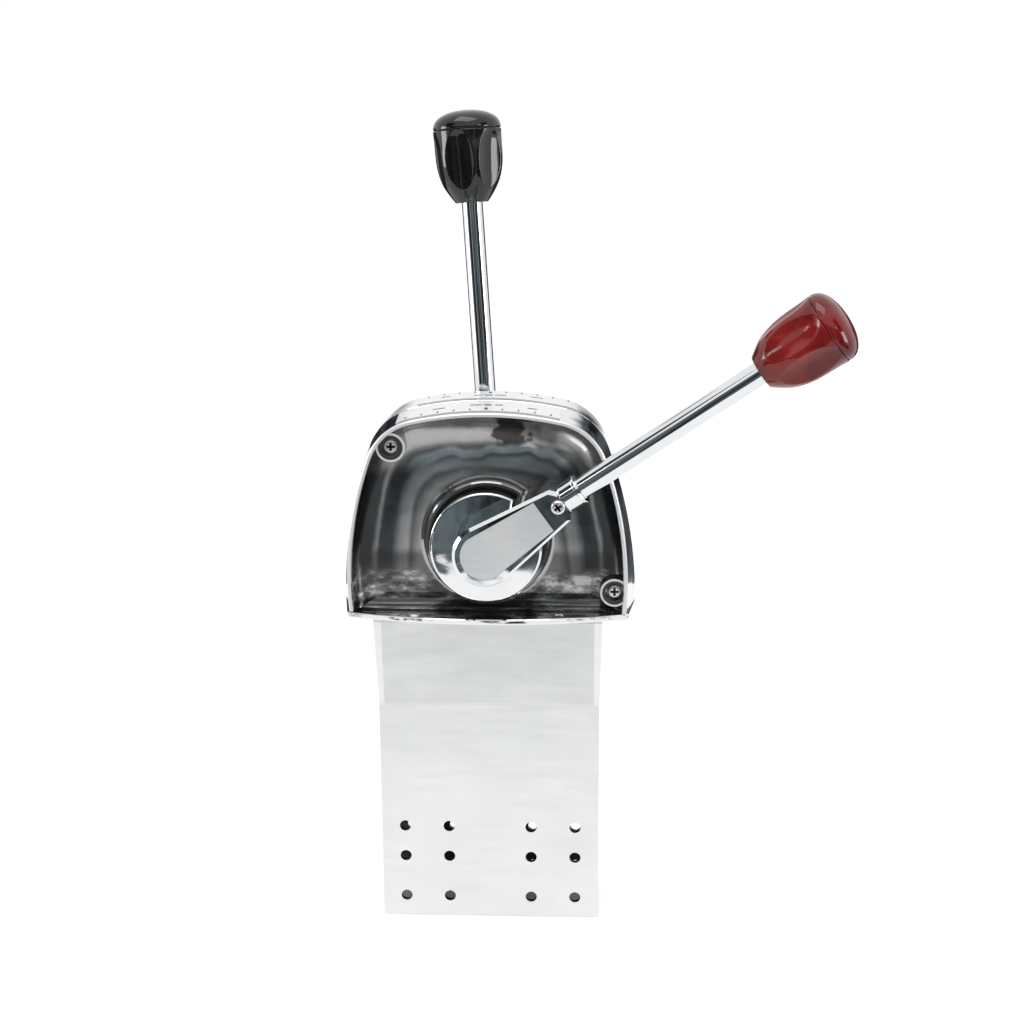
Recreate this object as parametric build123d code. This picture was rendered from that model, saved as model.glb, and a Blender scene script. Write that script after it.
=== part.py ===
from build123d import *
import math
import os

# Twin-lever boat engine control for mounting on top of a deck or console.
# Millimetres.  +Z is up and away from the deck, X runs fore and aft in the plane the levers
# swing in, Y runs across.  The origin is the centre of the base, in the plane of the deck.
# The throttle stands on the -Y side and the shift on the +Y side.  Everything that belongs to
# one side is drawn once, at height |Y| above the parting plane, and placed on both sides.

# ---- driving dimensions -------------------------------------------------------------------
BASE_Z = 0.0
PIVOT_Z = 43.0            # height of the lever shafts above the deck
THROTTLE_ANGLE = 35.3     # rest angle of each lever above +X
SHIFT_ANGLE = 93.8

TOP = 117.0               # crown of the housing above the deck
BASE_X = 82.6             # half its length at the deck
HALF_DEPTH = 30.0         # parting plane to rim
CROWN_DRAFT, SIDE_DRAFT = 0.8, 6.2    # how much smaller the rim is than the parting outline

# outline of the housing at the parting plane and at the rim: crown height, crown radius and
# half angle, shoulder radius, angle where the shoulder meets the side, half width at the deck
PARTING = dict(top=TOP, crown_r=198.0, crown_a=12.25, shoulder_r=34.0, side_a=70.0, base_x=BASE_X)
RIM = dict(top=TOP - CROWN_DRAFT, crown_r=190.0, crown_a=12.5, shoulder_r=33.0, side_a=70.0,
           base_x=BASE_X - SIDE_DRAFT)
PARTING_BEVEL = 0.8
RIM_BEVEL = 0.6
RIM_LAND = 2.0            # width of the rim around the dish
WALL = 3.0
SKIN = 3.2                # outer wall of the cavity
DISH_FLOOR = HALF_DEPTH - 12.5        # outer face of the dish floor
COVE_WIDTH = 18.0         # how far the dish wall sweeps inward from rim to floor
FLANGE_T = 3.0
FLANGE_BOW = HALF_DEPTH + 11.5        # reach of the deck flange at mid length
FLANGE_END = BASE_X - 4.6
FLANGE_R = 4.0
FLANGE_EDGE = 0.5
ROOT_R = 8.0              # fillet between flange and dish floor
RAIL_H = 12.0             # solid rail along the base
SEAT_H = 1.0              # shallow recess in the base that the hangers sit in
SEAT_GAP = 0.5

DECK_X, DECK_Y, DECK_R = 40.0, HALF_DEPTH + 4.0, 3.2

UPPER = (-52.0, TOP - 20.5)           # housing screw that enters from this side, upper
LOWER = (BASE_X - 12.2, 14.7)         # and lower; the other half has the same two turned round
SCREW_R = 2.45
THREAD_R = SCREW_R + 0.05
CLEAR_R = SCREW_R + 0.35
HEAD_R, HEAD_H = 4.0, 3.0
SCREW_MOUTH = HALF_DEPTH - 2.0
SCREW_SEAT = SCREW_MOUTH - 5.0
CBORE_R = HEAD_R + 1.2
POST_R = 5.5
POST_END = SCREW_SEAT - 1.0
BOSS_WALL = 3.0
BOSS_EDGE = 0.7
THREAD_IN = 12.0          # depth of the threaded holes from the parting plane

DISC_R, DISC_T = 31.0, 11.5
RING_R, RING_FACE = DISC_R + 3.5, HALF_DEPTH - 3.8
RING_ROOT, RING_EDGE = 2.6, 0.8
DISC_BACK = RING_FACE + 0.3           # the disc turns this clear of the ring
DISC_FRONT = DISC_BACK + DISC_T
DISC_ROUND = 1.6          # rounding of the disc's front edge
SHAFT_R = 7.95
SHAFT_START = 2.6
BUSH_IN = SHAFT_R + 0.05              # running fit
BUSH_OUT = BUSH_IN + 1.98
BORE_FIT = 0.02
THRUST_R, THRUST_T = BUSH_OUT + 3.52, 0.95
HUB_R = BUSH_OUT + 4.02               # solid metal around the bush
SHAFT_FIT = 0.05          # lever parts on the shaft

BRAKE_AT = 24.0           # radius of the brake and detent pocket from the shaft
POCKET_R, POCKET_END, POCKET_WALL = 4.1, DISH_FLOOR - 1.8, 2.4
PAD_IN, PAD_GAP = DISC_BACK - 6.0, 0.3
BALL_R, BALL_RISE = 4.0, 0.4
TRACK_GAP = 0.3
WIRE_R, COIL_R, COILS = 0.45, 2.9, 3
SPRING_CUP = 0.9          # the ball sinks this far into its spring

ROD_R = 6.0
ARM_T = 16.5              # arm in front of the disc
ARM_FRONT = DISC_FRONT + ARM_T
ARM_R = 17.3
ARM_END, ARM_END_W = 53.1, ROD_R + 3.5
ARM_BEVEL, ARM_CLIP = 1.6, 3.4
LUG_BACK, LUG_INSET = DISC_BACK, 0.8
PLATE_R, PLATE_W = 13.0, 9.4
PLATE_X0, PLATE_END = -2.0, ARM_END - 14.0    # where its straight flanks start and end along the arm
PLATE_T, PLATE_SINK = 1.0, 0.2
SHAFT_END = ARM_FRONT - 9.5
ARM_SCREW_SEAT, ARM_SCREW_R = ARM_FRONT - 5.5, 3.0
ARM_HEAD_R, ARM_HEAD_H = 5.5, 3.6
ARM_SCREW_L = 15.0
LEAN = 5.8                # outward lean of the rod
ROD_AT = (ARM_END, ARM_FRONT - ROD_R - 2.1)     # where the rod leaves the arm: along it, and |Y|
ROD_IN = 16.0
CLAMP_AT = ARM_END - 4.5              # clamp screw, along the arm
CLAMP_HEAD_R, CLAMP_HEAD_H, CLAMP_R = 3.75, 2.4, 2.0
COLLAR_L, COLLAR_R = 10.1, ROD_R + 2.1
COLLAR_GROOVE = (8.3, 8.9, 0.5)    # from, to and depth
COLLAR_FLANGE_R = COLLAR_R + 0.4
ROD_FIT = 0.03
KNOB_AT = 124.3           # knob foot along the rod from the arm's end
KNOB_FOOT_R = ROD_R + 3.3
KNOB_SEAM = 40.4
KNOB_H = 51.9
KNOB_R = 19.4
SEAM_GAP = 0.4
CAP_PLUG_R, PLUG_H = 16.0, 3.9     # plug of the cap in the knob
GRIPS, GRIP_DEPTH, GRIP_AT = 6, 2.9, 24.0
GRIP_BULGE, GRIP_HALF = 15.0, 27.0
THROTTLE_KNOB_TURN, SHIFT_KNOB_TURN = -3.0, 17.0
ROD_TIP = KNOB_AT + 22.0

CRANK_T = 4.0
CRANK_IN = DISH_FLOOR - WALL - THRUST_T - CRANK_T - 0.05    # the crank turns against the washer
CRANK_L = 44.0            # 2 x 44 x sin 60 = 76.2 mm of cable stroke
SPIGOT_R, SPIGOT_FLAT = 6.0, 4.6
CRANK_R0, CRANK_R1 = SPIGOT_R + 6.0, 7.5
PIN_R, PIN_END, PIN_NECK = 3.15, 2.1, 0.42
CLIP_GROOVE = (3.2, 4.1, 0.6)
SHANK_R = 5.0             # threaded inner end of the shaft
WASHER_R, WASHER_T = 8.5, 1.2
NUT_AF, NUT_T = 15.0, 4.8

HANGER_T = 3.0
HANGER_TOP = HALF_DEPTH - 1.2         # outer face under the deck flange
HANGER_OUT = HANGER_TOP - 6.6         # outer face of the straight part
HANGER_FLANGE = 14.0      # width of its inward flange
HANGER_NECK = -6.0        # the web narrows from here down to the joggle
HANGER_W, HANGER_W_TOP = 125.0, 127.5
JOG_Z, FOOT_Z = -54.0, -187.0
HOLE_R = 3.25
CLAMP_X = (-49.1, -23.7, 23.7, 49.1)
CLAMP_Z = (-130.0, -148.9, -174.3)
TAB_X, TAB_W, TAB_IN = 52.0, 16.0, 4.5
TAB_SCREW_Y = 10.0
TAB_POST_R = 5.0
SCALE_X, SCALE_L = -4.5, 89.0
SCALE_W, SCALE_Y, SCALE_T = 21.0, 15.5, 0.6
UP = (0, 0, 1)


def side(shape, sign):
    """Turn a shape drawn for the -Y side so that it serves the +Y side."""
    return shape if sign < 0 else Rot(0, 0, 180) * shape


def polar(centre, r, a):
    t = math.radians(a)
    return (centre[0] + r * math.sin(t), centre[1] + r * math.cos(t))


def mix(a, b, t):
    return {k: a[k] * (1 - t) + b[k] * t for k in a}


def outline(o, grow, y, floor_z=BASE_Z):
    """Closed D-shaped outline in the plane at -y, moved outward by grow."""
    c1 = (0.0, o["top"] - o["crown_r"])
    a1, a2 = o["crown_a"], o["side_a"]
    c2 = polar(c1, o["crown_r"] - o["shoulder_r"], a1)
    end = polar(c2, o["shoulder_r"], a2)
    # side arc: leaves the shoulder tangentially and reaches base_x at the deck
    chord = math.hypot(o["base_x"] - end[0], end[1])
    tilt = math.degrees(math.atan2(o["base_x"] - end[0], end[1]))
    turn = 2 * ((90 - a2) - tilt)
    r3 = chord / (2 * math.sin(math.radians(turn / 2)))
    c3 = polar(c2, o["shoulder_r"] - r3, a2)
    p1 = polar(c1, o["crown_r"] + grow, a1)
    p2 = polar(c2, o["shoulder_r"] + grow, a2)
    r = r3 + grow
    foot = (c3[0] + math.sqrt(r * r - (floor_z - c3[1]) ** 2), floor_z)
    a_mid = (a2 + 90 + math.degrees(math.asin((c3[1] - floor_z) / r))) / 2
    m3 = polar(c3, r, a_mid)
    m2 = polar(c2, o["shoulder_r"] + grow, (a1 + a2) / 2)
    top = (0.0, o["top"] + grow)

    def at(p, s=1):
        return (s * p[0], -y, p[1])

    edges = [
        Line(at(foot, -1), at(foot)),
        ThreePointArc(at(foot), at(m3), at(p2)),
        ThreePointArc(at(p2), at(m2), at(p1)),
        ThreePointArc(at(p1), at(top), at(p1, -1)),
        ThreePointArc(at(p1, -1), at(m2, -1), at(p2, -1)),
        ThreePointArc(at(p2, -1), at(m3, -1), at(foot, -1)),
    ]
    return Wire([e.edge() for e in edges])


def cove(t):
    """Dish section: depth |Y| and inset from the rim outline, t from 0 at the rim to 1."""
    a = math.radians(90 * t)
    y = HALF_DEPTH - (HALF_DEPTH - DISH_FLOOR) * math.sin(a)
    inset = RIM_LAND + COVE_WIDTH * (1 - math.cos(a))
    reach = DISH_FLOOR + ROOT_R
    z = FLANGE_T
    if y < reach:
        z = FLANGE_T + ROOT_R - math.sqrt(max(ROOT_R ** 2 - (reach - y) ** 2, 0))
    return y, inset, z


def outer_body(grow=0.0):
    shapes = [
        outline(PARTING, grow - PARTING_BEVEL, 0),
        outline(mix(PARTING, RIM, PARTING_BEVEL / HALF_DEPTH), grow, PARTING_BEVEL),
        outline(mix(PARTING, RIM, 1 - RIM_BEVEL / HALF_DEPTH), grow, HALF_DEPTH - RIM_BEVEL),
        outline(RIM, grow - RIM_BEVEL, HALF_DEPTH),
    ]
    return Solid.make_loft(shapes, ruled=True)


def dish(grow=0.0):
    """The dish as a solid, optionally swollen by the wall thickness."""
    steps = [0.0, 0.2, 0.38, 0.55, 0.7, 0.84, 0.94, 1.0]
    wires = []
    for t in steps:
        y, inset, z = cove(t)
        wires.append(outline(RIM, grow - inset, y - grow, z - grow))
    swept = Solid.make_loft(wires, ruled=False)
    # straight mouth through the rim
    first = outline(RIM, grow - RIM_LAND, HALF_DEPTH - grow, FLANGE_T - grow)
    mouth = extrude(Face(first), amount=grow + 4, dir=(0, -1, 0))
    return swept + mouth


def flange():
    """Deck flange: flat plate with a bowed front edge."""
    with BuildPart() as p:
        with BuildSketch(Plane.XY) as s:
            with BuildLine():
                Line((-PARTING["base_x"], 0), (PARTING["base_x"], 0))
                Line((PARTING["base_x"], 0), (FLANGE_END, -HALF_DEPTH))
                ThreePointArc((FLANGE_END, -HALF_DEPTH), (0, -FLANGE_BOW), (-FLANGE_END, -HALF_DEPTH))
                Line((-FLANGE_END, -HALF_DEPTH), (-PARTING["base_x"], 0))
            make_face()
            fillet(s.vertices().sort_by(Axis.Y)[:2], FLANGE_R)
        extrude(amount=FLANGE_T)
        chamfer(p.edges().filter_by(GeomType.CIRCLE).sort_by(Axis.Z)[-3:], FLANGE_EDGE)
    return p.part


def rod_y(r, y0, y1, x, z):
    """Cylinder along Y on the -Y side from |Y| = y0 to y1."""
    return Pos(x, -(y0 + y1) / 2, z) * Rot(90, 0, 0) * Cylinder(r, abs(y1 - y0))


def about_pivot(points):
    """Solid of revolution about the shaft axis from (radius, |Y|) points."""
    plane = Plane(origin=(0, 0, PIVOT_Z), x_dir=(1, 0, 0), z_dir=(0, 0, 1))
    face = Face(Wire.make_polygon([(r, -y, 0) for r, y in points], close=True))
    return plane.location * revolve(face, axis=Axis.Y, revolution_arc=360)


def housing():
    """One die-cast half of the housing; both halves are the same casting."""
    body = outer_body() - dish()
    foot = []
    for a in (0, 30, 60, 90):
        t = math.radians(a)
        foot.append((RING_R + RING_ROOT * (1 - math.sin(t)), DISH_FLOOR + RING_ROOT * (1 - math.cos(t))))
    ring = [(0, DISH_FLOOR - 1), (RING_R + RING_ROOT, DISH_FLOOR - 1)] + foot
    ring += [(RING_R, RING_FACE - RING_EDGE), (RING_R - RING_EDGE, RING_FACE), (0, RING_FACE)]
    body += about_pivot(ring) & outer_body()
    bosses = None
    for x, z in (UPPER, LOWER):
        b = rod_y(CBORE_R + BOSS_WALL, DISH_FLOOR - 1, SCREW_MOUTH, x, z)
        b = fillet(b.edges().filter_by(GeomType.CIRCLE).sort_by(Axis.Y)[:1], BOSS_EDGE)
        bosses = b if bosses is None else bosses + b
    body += bosses & outer_body()
    body += flange()

    ends = [outline(PARTING, -SKIN, -1, -1), outline(RIM, -SKIN, HALF_DEPTH - 2, -1)]
    cavity = Solid.make_loft(ends, ruled=True)
    cavity -= dish(WALL)
    cavity -= Pos(0, -50 - (DISH_FLOOR - WALL), RAIL_H / 2 - 5) * Box(200, 100, RAIL_H + 10)
    for x, z in (UPPER, LOWER, (-UPPER[0], UPPER[1]), (-LOWER[0], LOWER[1])):
        cavity -= rod_y(POST_R, -2, POST_END, x, z)
    for sx in (-1, 1):
        cavity -= Pos(sx * TAB_X, -TAB_SCREW_Y, RAIL_H / 2) * Cylinder(TAB_POST_R, RAIL_H)
        web = DISH_FLOOR - TAB_SCREW_Y
        cavity -= Pos(sx * TAB_X, -TAB_SCREW_Y - web / 2, RAIL_H / 2) * Box(2 * TAB_POST_R, web, RAIL_H)
    body -= cavity

    hollow = about_pivot([(HUB_R, DISH_FLOOR - WALL - 1), (RING_R - WALL, DISH_FLOOR - WALL - 1),
                          (RING_R - WALL, RING_FACE - WALL), (HUB_R, RING_FACE - WALL)])
    hollow -= rod_y(POCKET_R + POCKET_WALL, 10, RING_FACE, 0, PIVOT_Z + BRAKE_AT)
    body -= hollow
    body -= rod_y(BUSH_OUT + BORE_FIT, 5, 40, 0, PIVOT_Z)
    body -= rod_y(POCKET_R, POCKET_END, RING_FACE + 1, 0, PIVOT_Z + BRAKE_AT)
    for x, z in (UPPER, LOWER):
        body -= rod_y(CLEAR_R, -1, SCREW_MOUTH, x, z)
        body -= rod_y(CBORE_R, SCREW_SEAT, SCREW_MOUTH + 3, x, z)
        body -= rod_y(THREAD_R, -1, THREAD_IN, -x, z)
    for sx in (-1, 1):
        body -= Pos(sx * DECK_X, -DECK_Y, 0) * Cylinder(DECK_R, 20)
        body -= Pos(sx * TAB_X, -TAB_SCREW_Y, 4) * Cylinder(THREAD_R, 10.0)
    # the hangers sit in a recess, so only the flange itself bears on the deck
    seat_x, seat_y = HANGER_W_TOP + 2 * SEAT_GAP, 2 * (HANGER_TOP + SEAT_GAP)
    body -= Box(seat_x, seat_y, 2 * SEAT_H)
    return body


def scale_plate():
    """Thin strip that follows the crown of the housing."""
    grown = Solid.make_loft([outline(PARTING, SCALE_T, 0), outline(RIM, SCALE_T, HALF_DEPTH)], ruled=True)
    strip = grown & (Pos(SCALE_X, -SCALE_Y, PARTING["top"]) * Box(SCALE_L, SCALE_W, 30.0))
    return strip - outer_body()


def cross(r, depth, h0):
    """Phillips recess opening at height h0, along +Z."""
    arm = Pos(0, 0, h0 - depth / 2) * Box(2 * r, 0.34 * r + 0.5, depth)
    return arm + Rot(0, 0, 90) * arm


def pan_screw(head_r, head_h, shank_r, length):
    """Pan-head screw standing on Z = 0 with its shank below."""
    head = Cylinder(head_r, head_h, align=(Align.CENTER, Align.CENTER, Align.MIN))
    head = fillet(head.edges().filter_by(GeomType.CIRCLE).sort_by(Axis.Z)[-1:], head_h * 0.55)
    shank = Cylinder(shank_r, length, align=(Align.CENTER, Align.CENTER, Align.MAX))
    shank = chamfer(shank.edges().filter_by(GeomType.CIRCLE).sort_by(Axis.Z)[:1], 0.5)
    return head + shank - cross(head_r * 0.6, head_h * 0.7, head_h)


def housing_screw(x, z):
    plane = Plane(origin=(x, -SCREW_SEAT, z), x_dir=(1, 0, 0), z_dir=(0, -1, 0))
    return plane.location * pan_screw(HEAD_R, HEAD_H, SCREW_R, SCREW_SEAT + 10)


def hanger():
    """Sheet hanger: inward flange under the base, joggled web, straight foot with clamp holes."""
    top, out, t, seat = HANGER_TOP, HANGER_OUT, HANGER_T, SEAT_H
    inner = top - HANGER_FLANGE
    section = Polyline(
        (0, -top, seat), (0, -inner, seat), (0, -inner, seat - t), (0, -top + t + 1, seat - t),
        (0, -out + t, JOG_Z), (0, -out + t, FOOT_Z), (0, -out, FOOT_Z), (0, -out, JOG_Z),
        (0, -top, seat - t - 1), close=True)
    web = extrude(Face(Wire(section.edges())), amount=HANGER_W_TOP / 2, dir=(1, 0, 0), both=True)
    w0, w1 = HANGER_W_TOP / 2, HANGER_W / 2
    front = Polyline((-w0, 0, seat), (w0, 0, seat), (w0, 0, HANGER_NECK), (w1, 0, JOG_Z), (w1, 0, FOOT_Z),
                     (-w1, 0, FOOT_Z), (-w1, 0, JOG_Z), (-w0, 0, HANGER_NECK), close=True)
    blank = extrude(Face(Wire(front.edges())), amount=60, dir=(0, -1, 0))
    plate = web & blank
    corners = plate.edges().filter_by(Axis.Y).sort_by(Axis.Z)[:2]
    plate = fillet(corners, 3.0)
    for sx in (-1, 1):
        reach = inner + 1 - TAB_IN
        plate += Pos(sx * TAB_X, -(TAB_IN + reach / 2), seat - t / 2) * Box(TAB_W, reach, t)
    for x in CLAMP_X:
        for z in CLAMP_Z:
            plate -= rod_y(HOLE_R, out - 10, out + 10, x, z)
    for sx in (-1, 1):
        plate -= Pos(sx * TAB_X, -TAB_SCREW_Y, 0) * Cylinder(CLEAR_R, 12)
    return plate


def hanger_screws():
    out = []
    for sx in (-1, 1):
        screw = pan_screw(HEAD_R, HEAD_H, SCREW_R, HANGER_T + 7)
        out.append(Pos(sx * TAB_X, -TAB_SCREW_Y, SEAT_H - HANGER_T) * Rot(180, 0, 0) * screw)
    return out


def bush():
    return about_pivot([(BUSH_IN, DISH_FLOOR - WALL), (BUSH_OUT, DISH_FLOOR - WALL),
                        (BUSH_OUT, RING_FACE), (BUSH_IN, RING_FACE)])


def thrust_washer():
    face, inner = DISH_FLOOR - WALL, BUSH_IN + 0.3
    back = face - THRUST_T
    return about_pivot([(inner, face), (THRUST_R, face), (THRUST_R, back), (inner, back)])


def brake_pad():
    return rod_y(POCKET_R - 0.1, PAD_IN, DISC_BACK - PAD_GAP, 0, PIVOT_Z + BRAKE_AT)


def detent_ball():
    return Pos(0, -(DISC_BACK + BALL_RISE - BALL_R), PIVOT_Z + BRAKE_AT) * Sphere(BALL_R)


def pocket_spring(y1):
    """Compression spring in the blind pocket: round wire on a helix."""
    pitch = (y1 - POCKET_END - 2 * WIRE_R) / COILS
    path = Helix(pitch=pitch, height=pitch * COILS, radius=COIL_R)
    start = path @ 0
    section = Plane(origin=start, z_dir=path % 0) * Circle(WIRE_R)
    coil = sweep(section, path=path, is_frenet=True)
    plane = Plane(origin=(0, -POCKET_END - WIRE_R, PIVOT_Z + BRAKE_AT), x_dir=(1, 0, 0), z_dir=(0, -1, 0))
    return plane.location * coil


# ---- one lever, drawn with the shaft on Z (Z is |Y|) and the arm along +X -------------------

def ring_z(points):
    """Solid of revolution about Z from (radius, height) points."""
    face = Face(Wire.make_polygon([(r, 0, z) for r, z in points], close=True))
    return revolve(face, axis=Axis.Z, revolution_arc=360)


def shaft():
    edge, low, high = 0.6, CRANK_IN + 0.1, CRANK_IN + CRANK_T
    body = ring_z([(0, SHAFT_START), (SHANK_R - edge, SHAFT_START), (SHANK_R, SHAFT_START + edge),
                   (SHANK_R, low), (SPIGOT_R, low), (SPIGOT_R, high), (SHAFT_R, high),
                   (SHAFT_R, SHAFT_END - edge), (SHAFT_R - edge, SHAFT_END), (0, SHAFT_END)])
    for s in (-1, 1):
        body -= Pos(s * (SPIGOT_FLAT + 3), 0, CRANK_IN + CRANK_T / 2) * Box(6, 16, CRANK_T)
    body -= Pos(0, 0, SHAFT_END - 6) * Cylinder(ARM_SCREW_R + 0.05, 14)
    return body


def hub_disc(detents):
    """Disc cast with a polished face; a track for the detent ball is cut in the back on one side."""
    disc = Pos(0, 0, (DISC_BACK + DISC_FRONT) / 2) * Cylinder(DISC_R, DISC_FRONT - DISC_BACK)
    rims = disc.edges().filter_by(GeomType.CIRCLE).sort_by(Axis.Z)
    disc = fillet(rims[-1:], DISC_ROUND)
    disc = chamfer(disc.edges().filter_by(GeomType.CIRCLE).sort_by(Axis.Z)[:1], 0.6)
    disc -= Cylinder(SHAFT_R + SHAFT_FIT, 100)
    if detents:
        disc -= Pos(0, 0, DISC_BACK + BALL_RISE - BALL_R) * Torus(BRAKE_AT, BALL_R + TRACK_GAP)
    return disc


def arm_plan(grow=0.0):
    """Plan of the arm: round at the shaft, tangent flanks, clipped corners at the outer end."""
    r, w, e = ARM_R + grow, ARM_END_W + grow, ARM_END + grow
    lean = math.asin((r - w) / ARM_END)
    tx, ty = r * math.sin(lean), r * math.cos(lean)
    slope = -math.tan(lean)
    clip = ARM_CLIP

    def flank(x):
        return ty + slope * (x - tx)

    line = [Line((tx, ty), (e - clip, flank(e - clip))),
            Line((e - clip, flank(e - clip)), (e, flank(e) - clip)),
            Line((e, flank(e) - clip), (e, -flank(e) + clip)),
            Line((e, -flank(e) + clip), (e - clip, -flank(e - clip))),
            Line((e - clip, -flank(e - clip)), (tx, -ty)),
            ThreePointArc((tx, -ty), (-r, 0), (tx, ty))]
    return Face(Wire([k.edge() for k in line]))


def plate_plan(grow=0.0):
    """Plan of the nameplate: round end at the shaft, square outer end."""
    r, w, e = PLATE_R + grow, PLATE_W + grow, PLATE_END + grow
    x0, y0 = PLATE_X0, math.sqrt(r * r - PLATE_X0 ** 2)
    line = [Line((x0, y0), (e, w)), Line((e, w), (e, -w)), Line((e, -w), (x0, -y0)),
            ThreePointArc((x0, -y0), (-r, 0), (x0, y0))]
    return Face(Wire([k.edge() for k in line]))


def arm():
    body = Pos(0, 0, DISC_FRONT) * extrude(arm_plan(), amount=ARM_FRONT - DISC_FRONT - ARM_BEVEL, dir=UP)
    low = Pos(0, 0, ARM_FRONT - ARM_BEVEL) * arm_plan()
    high = Pos(0, 0, ARM_FRONT) * arm_plan(-ARM_BEVEL)
    body += Solid.make_loft([low.outer_wire(), high.outer_wire()], ruled=True)
    lug = Pos(0, 0, LUG_BACK) * extrude(arm_plan(-LUG_INSET), amount=DISC_FRONT - LUG_BACK + 1, dir=UP)
    lug -= Cylinder(DISC_R + 0.6, 100)
    body += lug
    # the outer end is cut square to the leaning rod
    x0, z0 = ROD_AT
    cut = Plane(origin=(x0, 0, z0), x_dir=(0, 1, 0), z_dir=along_rod(1))
    body -= cut.location * (Pos(0, 0, 20) * Box(60, 80, 40))
    body -= Pos(0, 0, ARM_FRONT - PLATE_T - PLATE_SINK) * extrude(plate_plan(0.1), amount=5, dir=UP)
    body -= Cylinder(SHAFT_R + SHAFT_FIT, 2 * SHAFT_END + 0.2)
    body -= Cylinder(ARM_SCREW_R + 0.3, 130)
    body -= Pos(0, 0, ARM_SCREW_SEAT + 10) * Cylinder(ARM_HEAD_R + 0.5, 20)
    body -= on_rod(Pos(0, 0, -ROD_IN / 2) * Cylinder(ROD_R + ROD_FIT, ROD_IN + 0.4))
    body -= Pos(CLAMP_AT, 0, ARM_FRONT - 2.5) * Cylinder(CLAMP_R + 0.1, 10)
    return body


def along_rod(sign=1):
    a = math.radians(LEAN)
    return (sign * math.cos(a), 0, sign * math.sin(a))


def on_rod(shape):
    """Place a shape drawn along +Z from the end of the arm onto the leaning rod axis."""
    plane = Plane(origin=(ROD_AT[0], 0, ROD_AT[1]), x_dir=(0, 1, 0), z_dir=along_rod())
    return plane.location * shape


def arm_screw():
    return Pos(0, 0, ARM_SCREW_SEAT) * pan_screw(ARM_HEAD_R, ARM_HEAD_H, ARM_SCREW_R, ARM_SCREW_L)


def nameplate():
    return Pos(0, 0, ARM_FRONT - PLATE_T - PLATE_SINK) * extrude(plate_plan(), amount=PLATE_T, dir=UP)


def clamp_screw():
    rod_axis = ROD_AT[1] - (ROD_AT[0] - CLAMP_AT) * math.tan(math.radians(LEAN))
    length = ARM_FRONT - rod_axis - ROD_R - 0.2
    return Pos(CLAMP_AT, 0, ARM_FRONT) * pan_screw(CLAMP_HEAD_R, CLAMP_HEAD_H, CLAMP_R, length)


def rod():
    body = Pos(0, 0, (ROD_TIP - ROD_IN) / 2) * Cylinder(ROD_R, ROD_TIP + ROD_IN)
    ends = body.edges().filter_by(GeomType.CIRCLE)
    return on_rod(chamfer(ends, 0.6))


def collar():
    bore, r, (low, high, deep) = ROD_R + ROD_FIT, COLLAR_R, COLLAR_GROOVE
    flange_r, edge = COLLAR_FLANGE_R, 0.3
    return on_rod(ring_z([(bore, 0), (r, 0), (r, low), (r - deep, low), (r - deep, high), (flange_r, high),
                          (flange_r, COLLAR_L - edge), (flange_r - edge, COLLAR_L), (bore, COLLAR_L)]))


def knob_half_profile():
    return [(KNOB_FOOT_R, 0.0), (12.3, 4.3), (15.3, 8.9), (18.2, 15.8), (KNOB_R, 25.0), (KNOB_R + 0.1, 33.0),
            (KNOB_R, KNOB_SEAM)]


def knob(turn):
    """Moulded grip; turn is how far round its hollows were screwed on."""
    pts = knob_half_profile()
    curve = Spline([(r, 0, z) for r, z in pts])
    seam_r, top, plug = KNOB_R - SEAM_GAP, KNOB_SEAM + SEAM_GAP, CAP_PLUG_R
    floor = top - PLUG_H - 0.1
    corners = [(KNOB_R, KNOB_SEAM), (seam_r, top), (plug, top), (plug, floor), (0, floor), (0, 0),
               (KNOB_FOOT_R, 0)]
    lines = [curve] + [Line((a[0], 0, a[1]), (b[0], 0, b[1])) for a, b in zip(corners, corners[1:])]
    body = revolve(Face(Wire([k.edge() for k in lines])), axis=Axis.Z, revolution_arc=360)
    # finger grips: six shallow spindle-shaped hollows
    a, b = GRIP_HALF, GRIP_BULGE
    bow, axis = ThreePointArc((0, 0, -a), (b, 0, 0), (0, 0, a)), Line((0, 0, a), (0, 0, -a))
    spindle = Wire([bow.edge(), axis.edge()])
    tool = revolve(Face(spindle), axis=Axis.Z, revolution_arc=360)
    for k in range(GRIPS):
        body -= Rot(0, 0, 360 / GRIPS * k + turn) * Pos(KNOB_R + b - GRIP_DEPTH, 0, GRIP_AT) * tool
    socket = ROD_TIP - KNOB_AT + 0.5
    body -= Pos(0, 0, socket / 2) * Cylinder(ROD_R + ROD_FIT, socket)
    return on_rod(Pos(0, 0, KNOB_AT) * body)


def knob_cap():
    under = KNOB_SEAM + SEAM_GAP
    edge = (KNOB_R - 0.2, under + 0.65)
    dome = Spline([(edge[0], 0, edge[1]), (KNOB_R - 0.15, 0, under + 2.15), (17.6, 0, KNOB_H - 6.3),
                   (11.9, 0, KNOB_H - 2.2), (5.5, 0, KNOB_H - 0.4), (0, 0, KNOB_H)],
                  tangents=[(0, 0, 1), (-1, 0, 0)])
    plug, foot = CAP_PLUG_R - 0.05, under - PLUG_H
    corners = [(0, KNOB_H), (0, foot), (plug, foot), (plug, under), (KNOB_R - 0.7, under), edge]
    lines = [dome] + [Line((a[0], 0, a[1]), (b[0], 0, b[1])) for a, b in zip(corners, corners[1:])]
    body = revolve(Face(Wire([k.edge() for k in lines])), axis=Axis.Z, revolution_arc=360)
    return on_rod(Pos(0, 0, KNOB_AT) * body)


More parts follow.
